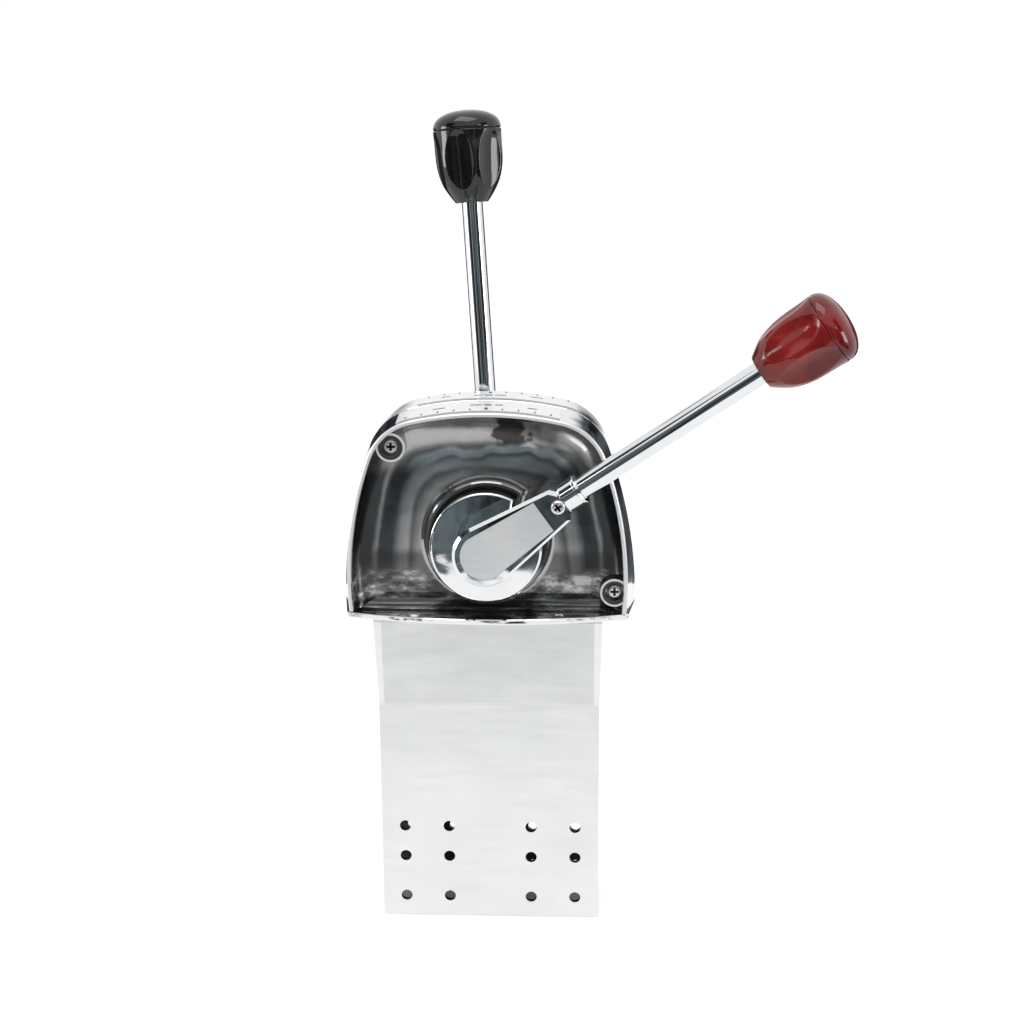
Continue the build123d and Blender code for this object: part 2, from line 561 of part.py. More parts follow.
def crank():
    """Double-ended crank; either end takes the cable, so the pull can be reversed."""
    plan = None
    for s in (-1, 1):
        r0, r1 = CRANK_R0, CRANK_R1
        lean = math.asin((r0 - r1) / CRANK_L)
        c, q = math.cos(lean), math.sin(lean)
        hub, tip = s * r0 * q, s * (CRANK_L + r1 * q)
        corners = [(hub, r0 * c, 0), (tip, r1 * c, 0), (tip, -r1 * c, 0), (hub, -r0 * c, 0)]
        blade = extrude(Face(Wire.make_polygon(corners, close=True)), amount=CRANK_T, dir=UP)
        blade += Pos(s * CRANK_L, 0, CRANK_T / 2) * Cylinder(r1, CRANK_T)
        plan = blade if plan is None else plan + blade
    plan += Pos(0, 0, CRANK_T / 2) * Cylinder(CRANK_R0, CRANK_T)
    spigot_hole = Pos(0, 0, CRANK_T / 2) * Cylinder(SPIGOT_R + 0.05, CRANK_T + 2)
    plan -= spigot_hole & Box(30, 2 * SPIGOT_FLAT + 0.1, 30)
    for s in (-1, 1):
        plan -= Pos(s * CRANK_L, 0, CRANK_T / 2) * Cylinder(PIN_R - PIN_NECK + BORE_FIT, CRANK_T + 2)
    return Pos(0, 0, CRANK_IN) * Rot(0, 0, 90) * plan


def cable_pin():
    """Pin for the cable eye: riveted into the crank, clip groove near its free end."""
    neck, (low, high, deep) = PIN_R - PIN_NECK, CLIP_GROOVE
    body = ring_z([(0, CRANK_IN + CRANK_T), (neck, CRANK_IN + CRANK_T), (neck, CRANK_IN), (PIN_R, CRANK_IN),
                   (PIN_R, high), (PIN_R - deep, high), (PIN_R - deep, low), (PIN_R, low),
                   (PIN_R, PIN_END + 0.5), (PIN_R - 0.5, PIN_END), (0, PIN_END)])
    return Pos(0, -CRANK_L, 0) * body


def crank_washer():
    inner, back = SHANK_R + 0.25, CRANK_IN - WASHER_T
    return ring_z([(inner, back), (WASHER_R, back), (WASHER_R, CRANK_IN), (inner, CRANK_IN)])


def crank_nut():
    z1 = CRANK_IN - WASHER_T
    nut = extrude(RegularPolygon(NUT_AF / 2, 6, major_radius=False), amount=NUT_T)
    face_r, out_r = NUT_AF / 2 - 0.6, NUT_AF / 2 + 1.6
    cone = ring_z([(0, -1), (face_r, -1), (out_r, 0.75), (out_r, NUT_T + 1), (0, NUT_T + 1)])
    nut = (nut & cone) - Cylinder(SHANK_R + 0.02, 20)
    return Pos(0, 0, z1 - NUT_T) * nut


# ---- placing and writing out ----------------------------------------------------------------

def lever_frame(sign, angle):
    """Shaft axis outward along Y, arm along the lever's rest angle."""
    a = math.radians(angle)
    return Plane(origin=(0, 0, PIVOT_Z), x_dir=(math.cos(a), 0, math.sin(a)), z_dir=(0, sign, 0)).location


def lever_pieces(detents, turn):
    return {
        "shaft": shaft(), "hub_disc": hub_disc(detents), "arm": arm(), "arm_screw": arm_screw(),
        "nameplate": nameplate(), "clamp_screw": clamp_screw(), "rod": rod(), "collar": collar(),
        "knob": knob(turn), "knob_cap": knob_cap(), "crank": crank(), "cable_pin": cable_pin(),
        "crank_washer": crank_washer(), "crank_nut": crank_nut(),
    }


nodes = {}
half, strip, plate, sleeve, washer = housing(), scale_plate(), hanger(), bush(), thrust_washer()
for label, sign in (("throttle", -1), ("shift", 1)):
    nodes[label + "_side_housing"] = side(half, sign)
    nodes[label + "_scale_plate"] = side(strip, sign)
    nodes[label + "_hanger"] = side(plate, sign)
    nodes[label + "_bush"] = side(sleeve, sign)
    nodes[label + "_thrust_washer"] = side(washer, sign)
    nodes[label + "_hanger_screws"] = Compound(children=[side(s, sign) for s in hanger_screws()])
    screws = [side(housing_screw(x, z), sign) for x, z in (UPPER, LOWER)]
    nodes[label + "_side_housing_screws"] = Compound(children=screws)

nodes["throttle_brake_pad"] = side(brake_pad(), -1)
nodes["throttle_brake_spring"] = side(pocket_spring(PAD_IN), -1)
nodes["shift_detent_ball"] = side(detent_ball(), 1)
nodes["shift_detent_spring"] = side(pocket_spring(DISC_BACK + BALL_RISE - 2 * BALL_R + SPRING_CUP), 1)

for label, sign, angle, turn in (("throttle", -1, THROTTLE_ANGLE, THROTTLE_KNOB_TURN),
                                 ("shift", 1, SHIFT_ANGLE, SHIFT_KNOB_TURN)):
    frame = lever_frame(sign, angle)
    for name, shape in lever_pieces(label == "shift", turn).items():
        nodes[label + "_" + name] = frame * shape

os.makedirs("parts", exist_ok=True)
for name, shape in nodes.items():
    export_step(shape, "parts/%s.step" % name)
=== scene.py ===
import math

import bpy
import numpy as np
from mathutils import Matrix, Vector


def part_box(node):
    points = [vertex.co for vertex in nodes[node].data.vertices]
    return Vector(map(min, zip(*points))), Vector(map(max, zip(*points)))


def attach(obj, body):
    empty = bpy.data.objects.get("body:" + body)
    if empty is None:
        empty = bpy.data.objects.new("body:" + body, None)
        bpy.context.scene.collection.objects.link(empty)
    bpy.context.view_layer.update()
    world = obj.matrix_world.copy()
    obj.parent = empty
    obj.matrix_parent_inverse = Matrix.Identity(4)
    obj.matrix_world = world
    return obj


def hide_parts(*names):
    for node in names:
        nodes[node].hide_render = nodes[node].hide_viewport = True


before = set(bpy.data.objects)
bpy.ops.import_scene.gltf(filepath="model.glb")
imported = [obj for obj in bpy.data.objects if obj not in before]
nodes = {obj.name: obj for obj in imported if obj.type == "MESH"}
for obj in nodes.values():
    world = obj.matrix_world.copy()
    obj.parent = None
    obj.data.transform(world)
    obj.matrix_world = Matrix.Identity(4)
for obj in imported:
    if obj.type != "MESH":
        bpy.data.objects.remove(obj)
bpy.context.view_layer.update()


# ---- Studio ---------------------------------------------------------------------------------
# A white sweep under and behind the control, one overhead softbox with weaker fills from the
# front left and the front right, and cards that only reflections see: dark flags all round,
# as for any chrome product shot, and two bright windows at the sides.
def studio_white(tree, lit, bright, seen_as):
    """One shader for the rays that look at the backdrop (straight, or by way of metal or glass)
    and another for those that gather light: the three ray kinds are added and clamped to 1."""
    path = tree.nodes.new("ShaderNodeLightPath")
    first = tree.nodes.new("ShaderNodeMath")
    first.operation = "ADD"
    tree.links.new(path.outputs["Is Camera Ray"], first.inputs[0])
    tree.links.new(path.outputs["Is Glossy Ray"], first.inputs[1])
    both = tree.nodes.new("ShaderNodeMath")
    both.operation = "ADD"
    both.use_clamp = True
    tree.links.new(first.outputs[0], both.inputs[0])
    tree.links.new(path.outputs["Is Transmission Ray"], both.inputs[1])
    choose = tree.nodes.new("ShaderNodeMixShader")
    tree.links.new(both.outputs[0], choose.inputs["Fac"])
    tree.links.new(lit, choose.inputs[1])
    tree.links.new(bright, choose.inputs[2])
    tree.links.new(choose.outputs[0], seen_as)


world = bpy.data.worlds.new("soft_room")
bpy.context.scene.world = world
world.use_nodes = True
room = world.node_tree
room_light = room.nodes["Background"]
room_light.inputs["Color"].default_value = (0.97, 0.985, 1.0, 1.0)
room_light.inputs["Strength"].default_value = 0.62
room_white = room.nodes.new("ShaderNodeBackground")
room_white.inputs["Color"].default_value = (1.0, 1.0, 1.0, 1.0)
room_white.inputs["Strength"].default_value = 1.0
studio_white(room, room_light.outputs[0], room_white.outputs[0],
             room.nodes["World Output"].inputs["Surface"])

FLOOR_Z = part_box("throttle_hanger")[0].z
SWEEP = 6.0               # half width of the floor
floor_mesh = bpy.data.meshes.new("sweep")
floor_mesh.from_pydata([(-SWEEP, -SWEEP, FLOOR_Z), (SWEEP, -SWEEP, FLOOR_Z), (SWEEP, SWEEP, FLOOR_Z),
                        (-SWEEP, SWEEP, FLOOR_Z)], [], [(0, 1, 2, 3)])
floor = bpy.data.objects.new("sweep", floor_mesh)
bpy.context.scene.collection.objects.link(floor)

paper = bpy.data.materials.new("sweep_paper")
paper.use_nodes = True
sheet = paper.node_tree
paper_lit = sheet.nodes["Principled BSDF"]
paper_lit.inputs["Base Color"].default_value = (0.85, 0.85, 0.85, 1.0)
paper_lit.inputs["Roughness"].default_value = 0.9
paper_shade = sheet.nodes.new("ShaderNodeBsdfDiffuse")
paper_shade.inputs["Color"].default_value = (0.26, 0.26, 0.26, 1.0)
paper_glow = sheet.nodes.new("ShaderNodeEmission")
# a painted shadow: the paper's own glow is left out between the two plates that stand on it,
# where hardly any light gets in
PAPER_GLOW, SHADED_GLOW = 0.88, 0.04
SHADED_HALF_LENGTH, SHADED_HALF_WIDTH, SHADED_EDGE = 0.064, 0.024, 0.006
paper_at = sheet.nodes.new("ShaderNodeSeparateXYZ")
sheet.links.new(sheet.nodes.new("ShaderNodeTexCoord").outputs["Object"], paper_at.inputs[0])
cover = []
for axis, reach in ((0, SHADED_HALF_LENGTH), (1, SHADED_HALF_WIDTH)):
    off = sheet.nodes.new("ShaderNodeMath")
    off.operation = "ABSOLUTE"
    sheet.links.new(paper_at.outputs[axis], off.inputs[0])
    edge = sheet.nodes.new("ShaderNodeMapRange")
    edge.interpolation_type = "SMOOTHSTEP"
    edge.inputs["From Min"].default_value = reach
    edge.inputs["From Max"].default_value = reach - SHADED_EDGE
    sheet.links.new(off.outputs[0], edge.inputs["Value"])
    cover.append(edge.outputs[0])
under = sheet.nodes.new("ShaderNodeMath")
under.operation = "MULTIPLY"
sheet.links.new(cover[0], under.inputs[0])
sheet.links.new(cover[1], under.inputs[1])
glow_left = sheet.nodes.new("ShaderNodeMapRange")
glow_left.inputs["To Min"].default_value = PAPER_GLOW
glow_left.inputs["To Max"].default_value = SHADED_GLOW
sheet.links.new(under.outputs[0], glow_left.inputs["Value"])
sheet.links.new(glow_left.outputs[0], paper_glow.inputs["Strength"])
paper_seen = sheet.nodes.new("ShaderNodeAddShader")
sheet.links.new(paper_shade.outputs[0], paper_seen.inputs[0])
sheet.links.new(paper_glow.outputs[0], paper_seen.inputs[1])
studio_white(sheet, paper_lit.outputs[0], paper_seen.outputs[0],
             sheet.nodes["Material Output"].inputs["Surface"])
floor_mesh.materials.append(paper)


def softbox(name, place, aim, width, height, power):
    """A rectangular lamp at one point that faces another."""
    lamp = bpy.data.lights.new(name, "AREA")
    lamp.shape = "RECTANGLE"
    lamp.size, lamp.size_y, lamp.energy = width, height, power
    stand = bpy.data.objects.new(name, lamp)
    stand.location = place
    stand.rotation_mode = "QUATERNION"
    stand.rotation_quaternion = (Vector(aim) - Vector(place)).to_track_quat("-Z", "Y")
    bpy.context.scene.collection.objects.link(stand)


softbox("softbox_top", (-0.1, -0.15, 1.25), (0.0, 0.0, 0.05), 0.9, 0.7, 5.0)
softbox("softbox_left", (-1.0, -0.75, 0.65), (0.0, 0.0, 0.0), 0.16, 0.30, 1.6)
softbox("softbox_right", (0.95, -0.8, 0.55), (0.05, 0.0, 0.1), 0.14, 0.26, 1.1)


def reflection_card(name, place, aim, width, height, cloth_tones, fade, glow=1.0):
    """A card seen only in reflections, clouded between a deep and a pale tone. Its cover falls off
    towards each edge: the smaller of the distances to the two pairs of edges, over the width of
    the fade, smoothed from 0 to 1. At a glow of 1 the tones reflect as they are written."""
    deep, pale = cloth_tones
    card = bpy.data.meshes.new(name)
    turn = (Vector(aim) - Vector(place)).to_track_quat("-Z", "Y").to_matrix()
    right, up, middle = turn @ Vector((1, 0, 0)), turn @ Vector((0, 1, 0)), Vector(place)
    corners = ((-1, -1), (1, -1), (1, 1), (-1, 1))
    spots = [middle + right * (a * width / 2) + up * (b * height / 2) for a, b in corners]
    card.from_pydata([tuple(s) for s in spots], [], [(0, 1, 2, 3)])
    sides = card.uv_layers.new(name="card")
    sides.data.foreach_set("uv", np.array([0, 0, width, 0, width, height, 0, height], np.float32))
    stand = bpy.data.objects.new(name, card)
    bpy.context.scene.collection.objects.link(stand)
    stand.visible_camera = stand.visible_diffuse = stand.visible_shadow = False
    stand.visible_transmission = stand.visible_volume_scatter = False
    cloth = bpy.data.materials.new(name)
    cloth.use_nodes = True
    tree = cloth.node_tree
    tree.nodes.remove(tree.nodes["Principled BSDF"])
    uv = tree.nodes.new("ShaderNodeUVMap")
    uv.uv_map = "card"
    split = tree.nodes.new("ShaderNodeSeparateXYZ")
    tree.links.new(uv.outputs[0], split.inputs[0])
    near = None
    for axis, extent in ((0, width), (1, height)):
        across = tree.nodes.new("ShaderNodeMath")
        across.operation = "PINGPONG"
        across.inputs[1].default_value = extent / 2
        tree.links.new(split.outputs[axis], across.inputs[0])
        if near is None:
            near = across.outputs[0]
        else:
            least = tree.nodes.new("ShaderNodeMath")
            least.operation = "MINIMUM"
            tree.links.new(near, least.inputs[0])
            tree.links.new(across.outputs[0], least.inputs[1])
            near = least.outputs[0]
    cover = tree.nodes.new("ShaderNodeMapRange")
    cover.interpolation_type = "SMOOTHSTEP"
    cover.inputs["From Max"].default_value = fade
    tree.links.new(near, cover.inputs["Value"])
    clear = tree.nodes.new("ShaderNodeBsdfTransparent")
    shine = tree.nodes.new("ShaderNodeEmission")
    cloud = tree.nodes.new("ShaderNodeTexNoise")
    cloud.inputs["Scale"].default_value = 7.0
    cloud.inputs["Detail"].default_value = 2.0
    tree.links.new(uv.outputs[0], cloud.inputs["Vector"])
    shade = tree.nodes.new("ShaderNodeValToRGB")
    shade.color_ramp.elements[0].position = 0.40
    shade.color_ramp.elements[0].color = (*deep, 1.0)
    shade.color_ramp.elements[1].position = 0.62
    shade.color_ramp.elements[1].color = (*pale, 1.0)
    tree.links.new(cloud.outputs["Fac"], shade.inputs["Fac"])
    tree.links.new(shade.outputs["Color"], shine.inputs["Color"])
    shine.inputs["Strength"].default_value = glow
    mixed = tree.nodes.new("ShaderNodeMixShader")
    tree.links.new(cover.outputs[0], mixed.inputs["Fac"])
    tree.links.new(clear.outputs[0], mixed.inputs[1])
    tree.links.new(shine.outputs[0], mixed.inputs[2])
    tree.links.new(mixed.outputs[0], tree.nodes["Material Output"].inputs["Surface"])
    card.materials.append(cloth)


GREY_CLOTH = ((0.012, 0.015, 0.017), (0.13, 0.165, 0.18))
BLACK_CLOTH = ((0.010, 0.011, 0.012), (0.06, 0.07, 0.075))
LOW_CLOTH = ((0.008, 0.009, 0.01), (0.03, 0.035, 0.04))
BACK_CLOTH = ((0.01, 0.01, 0.012), (0.10, 0.11, 0.12))
LEFT_CLOTH = ((0.02, 0.03, 0.035), (0.05, 0.06, 0.07))
RIGHT_CLOTH = ((0.02, 0.025, 0.03), (0.05, 0.06, 0.07))
WINDOW_PANE = ((0.92, 0.95, 1.0), (1.0, 1.0, 1.0))
WINDOW_GLOW = 8.0
# the lower edges run down through the sweep, so that a sharp line parts card from paper
reflection_card("flag_front", (0.0, -0.748, 0.08), (0.0, 0.0, 0.08), 0.84, 0.84, GREY_CLOTH, 0.08)
reflection_card("flag_front_left", (-0.62, -0.62, 0.12), (0.0, 0.0, 0.12), 0.60, 0.80, BLACK_CLOTH, 0.08)
reflection_card("flag_front_right", (0.62, -0.62, 0.12), (0.0, 0.0, 0.12), 0.60, 0.80, BLACK_CLOTH, 0.08)
reflection_card("flag_low_left", (-0.56, -0.34, -0.16), (0.0, 0.0, -0.16), 0.62, 0.30, LOW_CLOTH, 0.03)
reflection_card("flag_low_right", (0.56, -0.34, -0.16), (0.0, 0.0, -0.16), 0.62, 0.30, LOW_CLOTH, 0.03)
reflection_card("flag_back_right", (0.43, 0.60, 0.02), (0.43, 0.0, 0.02), 0.66, 0.50, BACK_CLOTH, 0.06)
reflection_card("flag_back_left", (-0.47, 0.60, 0.02), (-0.47, 0.0, 0.02), 0.66, 0.50, BACK_CLOTH, 0.06)
# two windows beside the control, eight times as bright as white, for the streaks on its mouldings
reflection_card("window_left", (-0.86, -0.06, 0.22), (0.0, 0.0, 0.22), 0.34, 0.42, WINDOW_PANE, 0.04,
                WINDOW_GLOW)
reflection_card("window_right", (0.92, -0.26, 0.22), (0.06, 0.0, 0.22), 0.30, 0.42, WINDOW_PANE, 0.04,
                WINDOW_GLOW)
reflection_card("flag_left", (-0.75, -0.35, 0.62), (0.0, 0.0, 0.08), 0.6, 0.55, LEFT_CLOTH, 0.1)
reflection_card("flag_right", (0.78, -0.30, 0.58), (0.0, 0.0, 0.08), 0.5, 0.5, RIGHT_CLOTH, 0.1)

# the camera stands a little to the right of the middle and looks down on the control
CAMERA_LENS = 63.181
CAMERA_AZIMUTH, CAMERA_ELEVATION, CAMERA_ROLL = (math.radians(a) for a in (2.650, 15.668, -0.330))
CAMERA_AIM = (0.012694, 0.0, 0.052826)       # sideways along the camera's own right, then up
CAMERA_DISTANCE = 1.011628
ahead = Vector((-math.sin(CAMERA_AZIMUTH) * math.cos(CAMERA_ELEVATION),
                math.cos(CAMERA_AZIMUTH) * math.cos(CAMERA_ELEVATION), -math.sin(CAMERA_ELEVATION)))
level = Vector((math.cos(CAMERA_AZIMUTH), math.sin(CAMERA_AZIMUTH), 0.0))
upright = level.cross(ahead)
rolled = Matrix.Rotation(CAMERA_ROLL, 3, -ahead)
level, upright = rolled @ level, rolled @ upright
camera = bpy.data.objects.new("camera", bpy.data.cameras.new("camera"))
camera.data.lens, camera.data.sensor_width = CAMERA_LENS, 36.0
camera.data.clip_start, camera.data.clip_end = 0.01, 60.0
stance = level * CAMERA_AIM[0] + Vector((0.0, 0.0, CAMERA_AIM[2])) - ahead * CAMERA_DISTANCE
camera.matrix_world = Matrix(((level.x, upright.x, -ahead.x, stance.x),
                              (level.y, upright.y, -ahead.y, stance.y),
                              (level.z, upright.z, -ahead.z, stance.z),
                              (0.0, 0.0, 0.0, 1.0)))
bpy.context.scene.collection.objects.link(camera)
bpy.context.scene.camera = camera
bpy.context.scene.view_settings.view_transform = "Standard"


# ---- Housing halves ---------------------------------------------------------------------------
# Two zinc die castings, fettled, buffed and chrome plated. Buffing leaves the broad faces a
# little wavy, with faint smears. The dish, ledge and ring are given painted reflections and shade.
def new_finish(name, metallic=0.0, roughness=0.5):
    """An empty finish: its tree, its main shader and the object's own coordinates."""
    finish = bpy.data.materials.new(name)
    finish.use_nodes = True
    tree = finish.node_tree
    shader = tree.nodes["Principled BSDF"]
    shader.inputs["Metallic"].default_value = metallic
    shader.inputs["Roughness"].default_value = roughness
    place = tree.nodes.new("ShaderNodeTexCoord").outputs["Object"]
    return finish, tree, shader, place


def mottle(tree, place, scale, detail=3.0, rough=0.5, stretch=(1.0, 1.0, 1.0),
           turn=(0.0, 0.0, 0.0), twist=0.0):
    """Soft random patches, 1 / scale metres across, drawn out along an axis by a small stretch."""
    at = tree.nodes.new("ShaderNodeMapping")
    at.inputs["Rotation"].default_value = turn
    at.inputs["Scale"].default_value = stretch
    tree.links.new(place, at.inputs["Vector"])
    noise = tree.nodes.new("ShaderNodeTexNoise")
    noise.inputs["Scale"].default_value = scale
    noise.inputs["Detail"].default_value = detail
    noise.inputs["Roughness"].default_value = rough
    noise.inputs["Distortion"].default_value = twist
    tree.links.new(at.outputs[0], noise.inputs["Vector"])
    return noise.outputs["Fac"]


def between(tree, value, start, stop, low, high):
    """Map a value from start..stop to low..high and hold it there."""
    span = tree.nodes.new("ShaderNodeMapRange")
    span.inputs["From Min"].default_value, span.inputs["From Max"].default_value = start, stop
    span.inputs["To Min"].default_value, span.inputs["To Max"].default_value = low, high
    tree.links.new(value, span.inputs["Value"])
    return span.outputs[0]


def tones(tree, value, *stops):
    """Colours along a value: (position, (r, g, b)) pairs."""
    ramp = tree.nodes.new("ShaderNodeValToRGB")
    ramp.color_ramp.elements[0].position, ramp.color_ramp.elements[1].position = stops[0][0], stops[-1][0]
    ramp.color_ramp.elements[0].color = (*stops[0][1], 1.0)
    ramp.color_ramp.elements[1].color = (*stops[-1][1], 1.0)
    for position, colour in stops[1:-1]:
        ramp.color_ramp.elements.new(position).color = (*colour, 1.0)
    tree.links.new(value, ramp.inputs["Fac"])
    return ramp.outputs["Color"]


def relief(tree, shader, *layers):
    """Stack heights in metres, each (value, depth), into the shader's normal."""
    normal = None
    for value, depth in layers:
        bump = tree.nodes.new("ShaderNodeBump")
        bump.inputs["Strength"].default_value = 1.0
        bump.inputs["Distance"].default_value = depth
        tree.links.new(value, bump.inputs["Height"])
        if normal is not None:
            tree.links.new(normal, bump.inputs["Normal"])
        normal = bump.outputs["Normal"]
    tree.links.new(normal, shader.inputs["Normal"])


def surface(tree, shader, colour, roughness):
    """Lead a colour and a roughness to the shader."""
    tree.links.new(colour, shader.inputs["Base Color"])
    tree.links.new(roughness, shader.inputs["Roughness"])


def reckon(tree, kind, *terms):
    """One step of arithmetic on numbers or sockets."""
    step = tree.nodes.new("ShaderNodeMath")
    step.operation = kind
    for socket, term in zip(step.inputs, terms):
        if isinstance(term, (int, float)):
            socket.default_value = term
        else:
            tree.links.new(term, socket)
    return step.outputs[0]


def apart(tree, one_leg, other_leg):
    """A distance from its two legs at right angles: the root of the sum of their squares."""
    squares = reckon(tree, "ADD", reckon(tree, "MULTIPLY", one_leg, one_leg),
                     reckon(tree, "MULTIPLY", other_leg, other_leg))
    return reckon(tree, "SQRT", squares)


def axes(tree, place):
    """The three object coordinates one by one."""
    split = tree.nodes.new("ShaderNodeSeparateXYZ")
    tree.links.new(place, split.inputs[0])
    return split.outputs


def fade_in(tree, value, start, stop):
    """0 at start and 1 at stop, eased at both ends."""
    ease = tree.nodes.new("ShaderNodeMapRange")
    ease.interpolation_type = "SMOOTHSTEP"
    ease.inputs["From Min"].default_value, ease.inputs["From Max"].default_value = start, stop
    tree.links.new(value, ease.inputs["Value"])
    return ease.outputs[0]


def blend(tree, share, first, second):
    """Colours or numbers mixed by a share from 0, the first, to 1, the second."""
    mix = tree.nodes.new("ShaderNodeMix")
    mix.data_type = "RGBA"
    tree.links.new(share, mix.inputs["Factor"])
    for socket, colour in ((mix.inputs[6], first), (mix.inputs[7], second)):
        if isinstance(colour, tuple):
            socket.default_value = (*colour, 1.0)
        else:
            tree.links.new(colour, socket)
    return mix.outputs[2]


def dress(finish, *names):
    """Give CAD nodes a finish in place of the plain one they came with."""
    for name in names:
        for spot in nodes[name].material_slots:
            spot.material = finish


chrome, tree, shader, place = new_finish("buffed_chrome", metallic=1.0)
across, depth, height = axes(tree, place)
side_on = reckon(tree, "ABSOLUTE", across)
depth = reckon(tree, "ABSOLUTE", depth)
# distance in from the rim's outline: its crown arc and side arc, each the distance from the
# arc's centre less its radius, joined by a smooth maximum that stands for the round shoulder
CROWN_R, CROWN_Z, SHOULDER = 0.190, -0.0738, 0.0205
SIDE_R, SIDE_X, SIDE_Z = 0.2059, -0.1285, 0.0204
to_crown = apart(tree, across, reckon(tree, "SUBTRACT", height, CROWN_Z))
to_side = apart(tree, reckon(tree, "SUBTRACT", side_on, SIDE_X), reckon(tree, "SUBTRACT", height, SIDE_Z))
outside = reckon(tree, "SMOOTH_MAX", reckon(tree, "SUBTRACT", to_crown, CROWN_R),
                 reckon(tree, "SUBTRACT", to_side, SIDE_R), SHOULDER)
inset = reckon(tree, "MULTIPLY", outside, -1.0)
# the shaft, the disc and the raised ring share this centre
PIVOT_Z = 0.043
to_pivot = apart(tree, across, reckon(tree, "SUBTRACT", height, PIVOT_Z))
# the dish lies in from the rim, behind its face, above the ledge and outside the ring; each
# pair is where a fade starts and where it ends
PAST_RIM, BEHIND_RIM_FACE = (0.0012, 0.0024), (0.0280, 0.0277)
ABOVE_LEDGE, OUTSIDE_RING = (0.0032, 0.0040), (0.0368, 0.0380)
in_dish = reckon(tree, "MULTIPLY", fade_in(tree, inset, *PAST_RIM), fade_in(tree, depth, *BEHIND_RIM_FACE))
in_dish = reckon(tree, "MULTIPLY", in_dish, fade_in(tree, height, *ABOVE_LEDGE))
in_dish = reckon(tree, "MULTIPLY", in_dish, fade_in(tree, to_pivot, *OUTSIDE_RING))
# the dish's tones are painted on, in place of what such a hollow reflects: dark bands that
# follow the side, a paler wave under the crown and light patches near the flange
TONES_PER_METRE = 20.0       # a run of tones is spread over 50 mm in from the rim
wander = mottle(tree, place, 55.0, 3.0, 0.55, stretch=(1.0, 1.0, 0.35))
band_at = reckon(tree, "ADD", inset, between(tree, wander, 0.3, 0.7, -0.0016, 0.0016))
band_at = reckon(tree, "MULTIPLY", band_at, TONES_PER_METRE)
sides = tones(tree, band_at, (0.0, (0.03, 0.032, 0.034)), (0.24, (0.035, 0.038, 0.04)),
              (0.285, (0.20, 0.205, 0.21)), (0.33, (0.05, 0.052, 0.055)), (0.46, (0.07, 0.075, 0.08)),
              (0.54, (0.34, 0.345, 0.35)), (0.62, (0.42, 0.42, 0.42)), (0.67, (0.16, 0.16, 0.165)),
              (0.76, (0.46, 0.45, 0.45)), (1.0, (0.52, 0.51, 0.51)))
swell = mottle(tree, place, 38.0, 2.0, 0.5, stretch=(1.0, 1.0, 0.2))
wave_at = reckon(tree, "ADD", inset, between(tree, swell, 0.3, 0.7, -0.0040, 0.0040))
wave_at = reckon(tree, "MULTIPLY", wave_at, TONES_PER_METRE)
crown = tones(tree, wave_at, (0.0, (0.48, 0.47, 0.46)), (0.30, (0.42, 0.41, 0.40)),
              (0.39, (0.30, 0.30, 0.30)), (0.43, (0.62, 0.70, 0.74)), (0.49, (0.52, 0.60, 0.64)),
              (0.52, (0.16, 0.18, 0.19)), (0.58, (0.42, 0.47, 0.49)), (0.68, (0.50, 0.48, 0.47)),
              (1.0, (0.55, 0.53, 0.52)))
# one ragged dark blot on the crown, to one side of the middle, and thin scattered dark flecks, all painted
# reflection
BLOT_X = 0.013
blot_edge_grain = mottle(tree, place, 110.0, 3.0, 0.6)
dark_fleck_noise = mottle(tree, place, 42.0, 2.0, 0.45, stretch=(1.0, 1.0, 0.5), turn=(0.0, 0.3, 0.0))
ragged = reckon(tree, "ADD", across, between(tree, blot_edge_grain, 0.3, 0.7, -0.0055, 0.0055))
from_blot = reckon(tree, "ABSOLUTE", reckon(tree, "SUBTRACT", ragged, BLOT_X))
blot = reckon(tree, "MULTIPLY", fade_in(tree, from_blot, 0.011, 0.006), fade_in(tree, wave_at, 0.43, 0.36))
thin_painted_flecks = reckon(tree, "MULTIPLY", fade_in(tree, dark_fleck_noise, 0.60, 0.72), 0.7)
painted_dark_reflection = reckon(tree, "MAXIMUM", thin_painted_flecks, reckon(tree, "MULTIPLY", blot, 0.97))
crown = blend(tree, painted_dark_reflection, crown, (0.05, 0.045, 0.045))
skin = blend(tree, fade_in(tree, height, 0.078, 0.094), sides, crown)
# lower down the painted reflection turns dark, then shows light patches near the flange, then turns dark
# again just above the ledge
patch_spots = mottle(tree, place, 150.0, 5.0, 0.7, stretch=(0.45, 1.0, 1.0))
painted_light_patches = tones(tree, patch_spots, (0.42, (0.07, 0.07, 0.07)), (0.52, (0.24, 0.24, 0.24)),
               (0.62, (0.62, 0.62, 0.62)))
low_shade = reckon(tree, "MULTIPLY", fade_in(tree, height, 0.038, 0.032), 0.62)
skin = blend(tree, low_shade, skin, (0.03, 0.03, 0.031))
skin = blend(tree, fade_in(tree, height, 0.028, 0.018), skin, painted_light_patches)
skin = blend(tree, fade_in(tree, height, 0.0085, 0.0065), skin, (0.07, 0.07, 0.072))
smear = mottle(tree, place, 28.0, 4.0, 0.6, twist=0.6)
bright = tones(tree, smear, (0.3, (0.80, 0.81, 0.815)), (0.7, (0.74, 0.755, 0.765)))
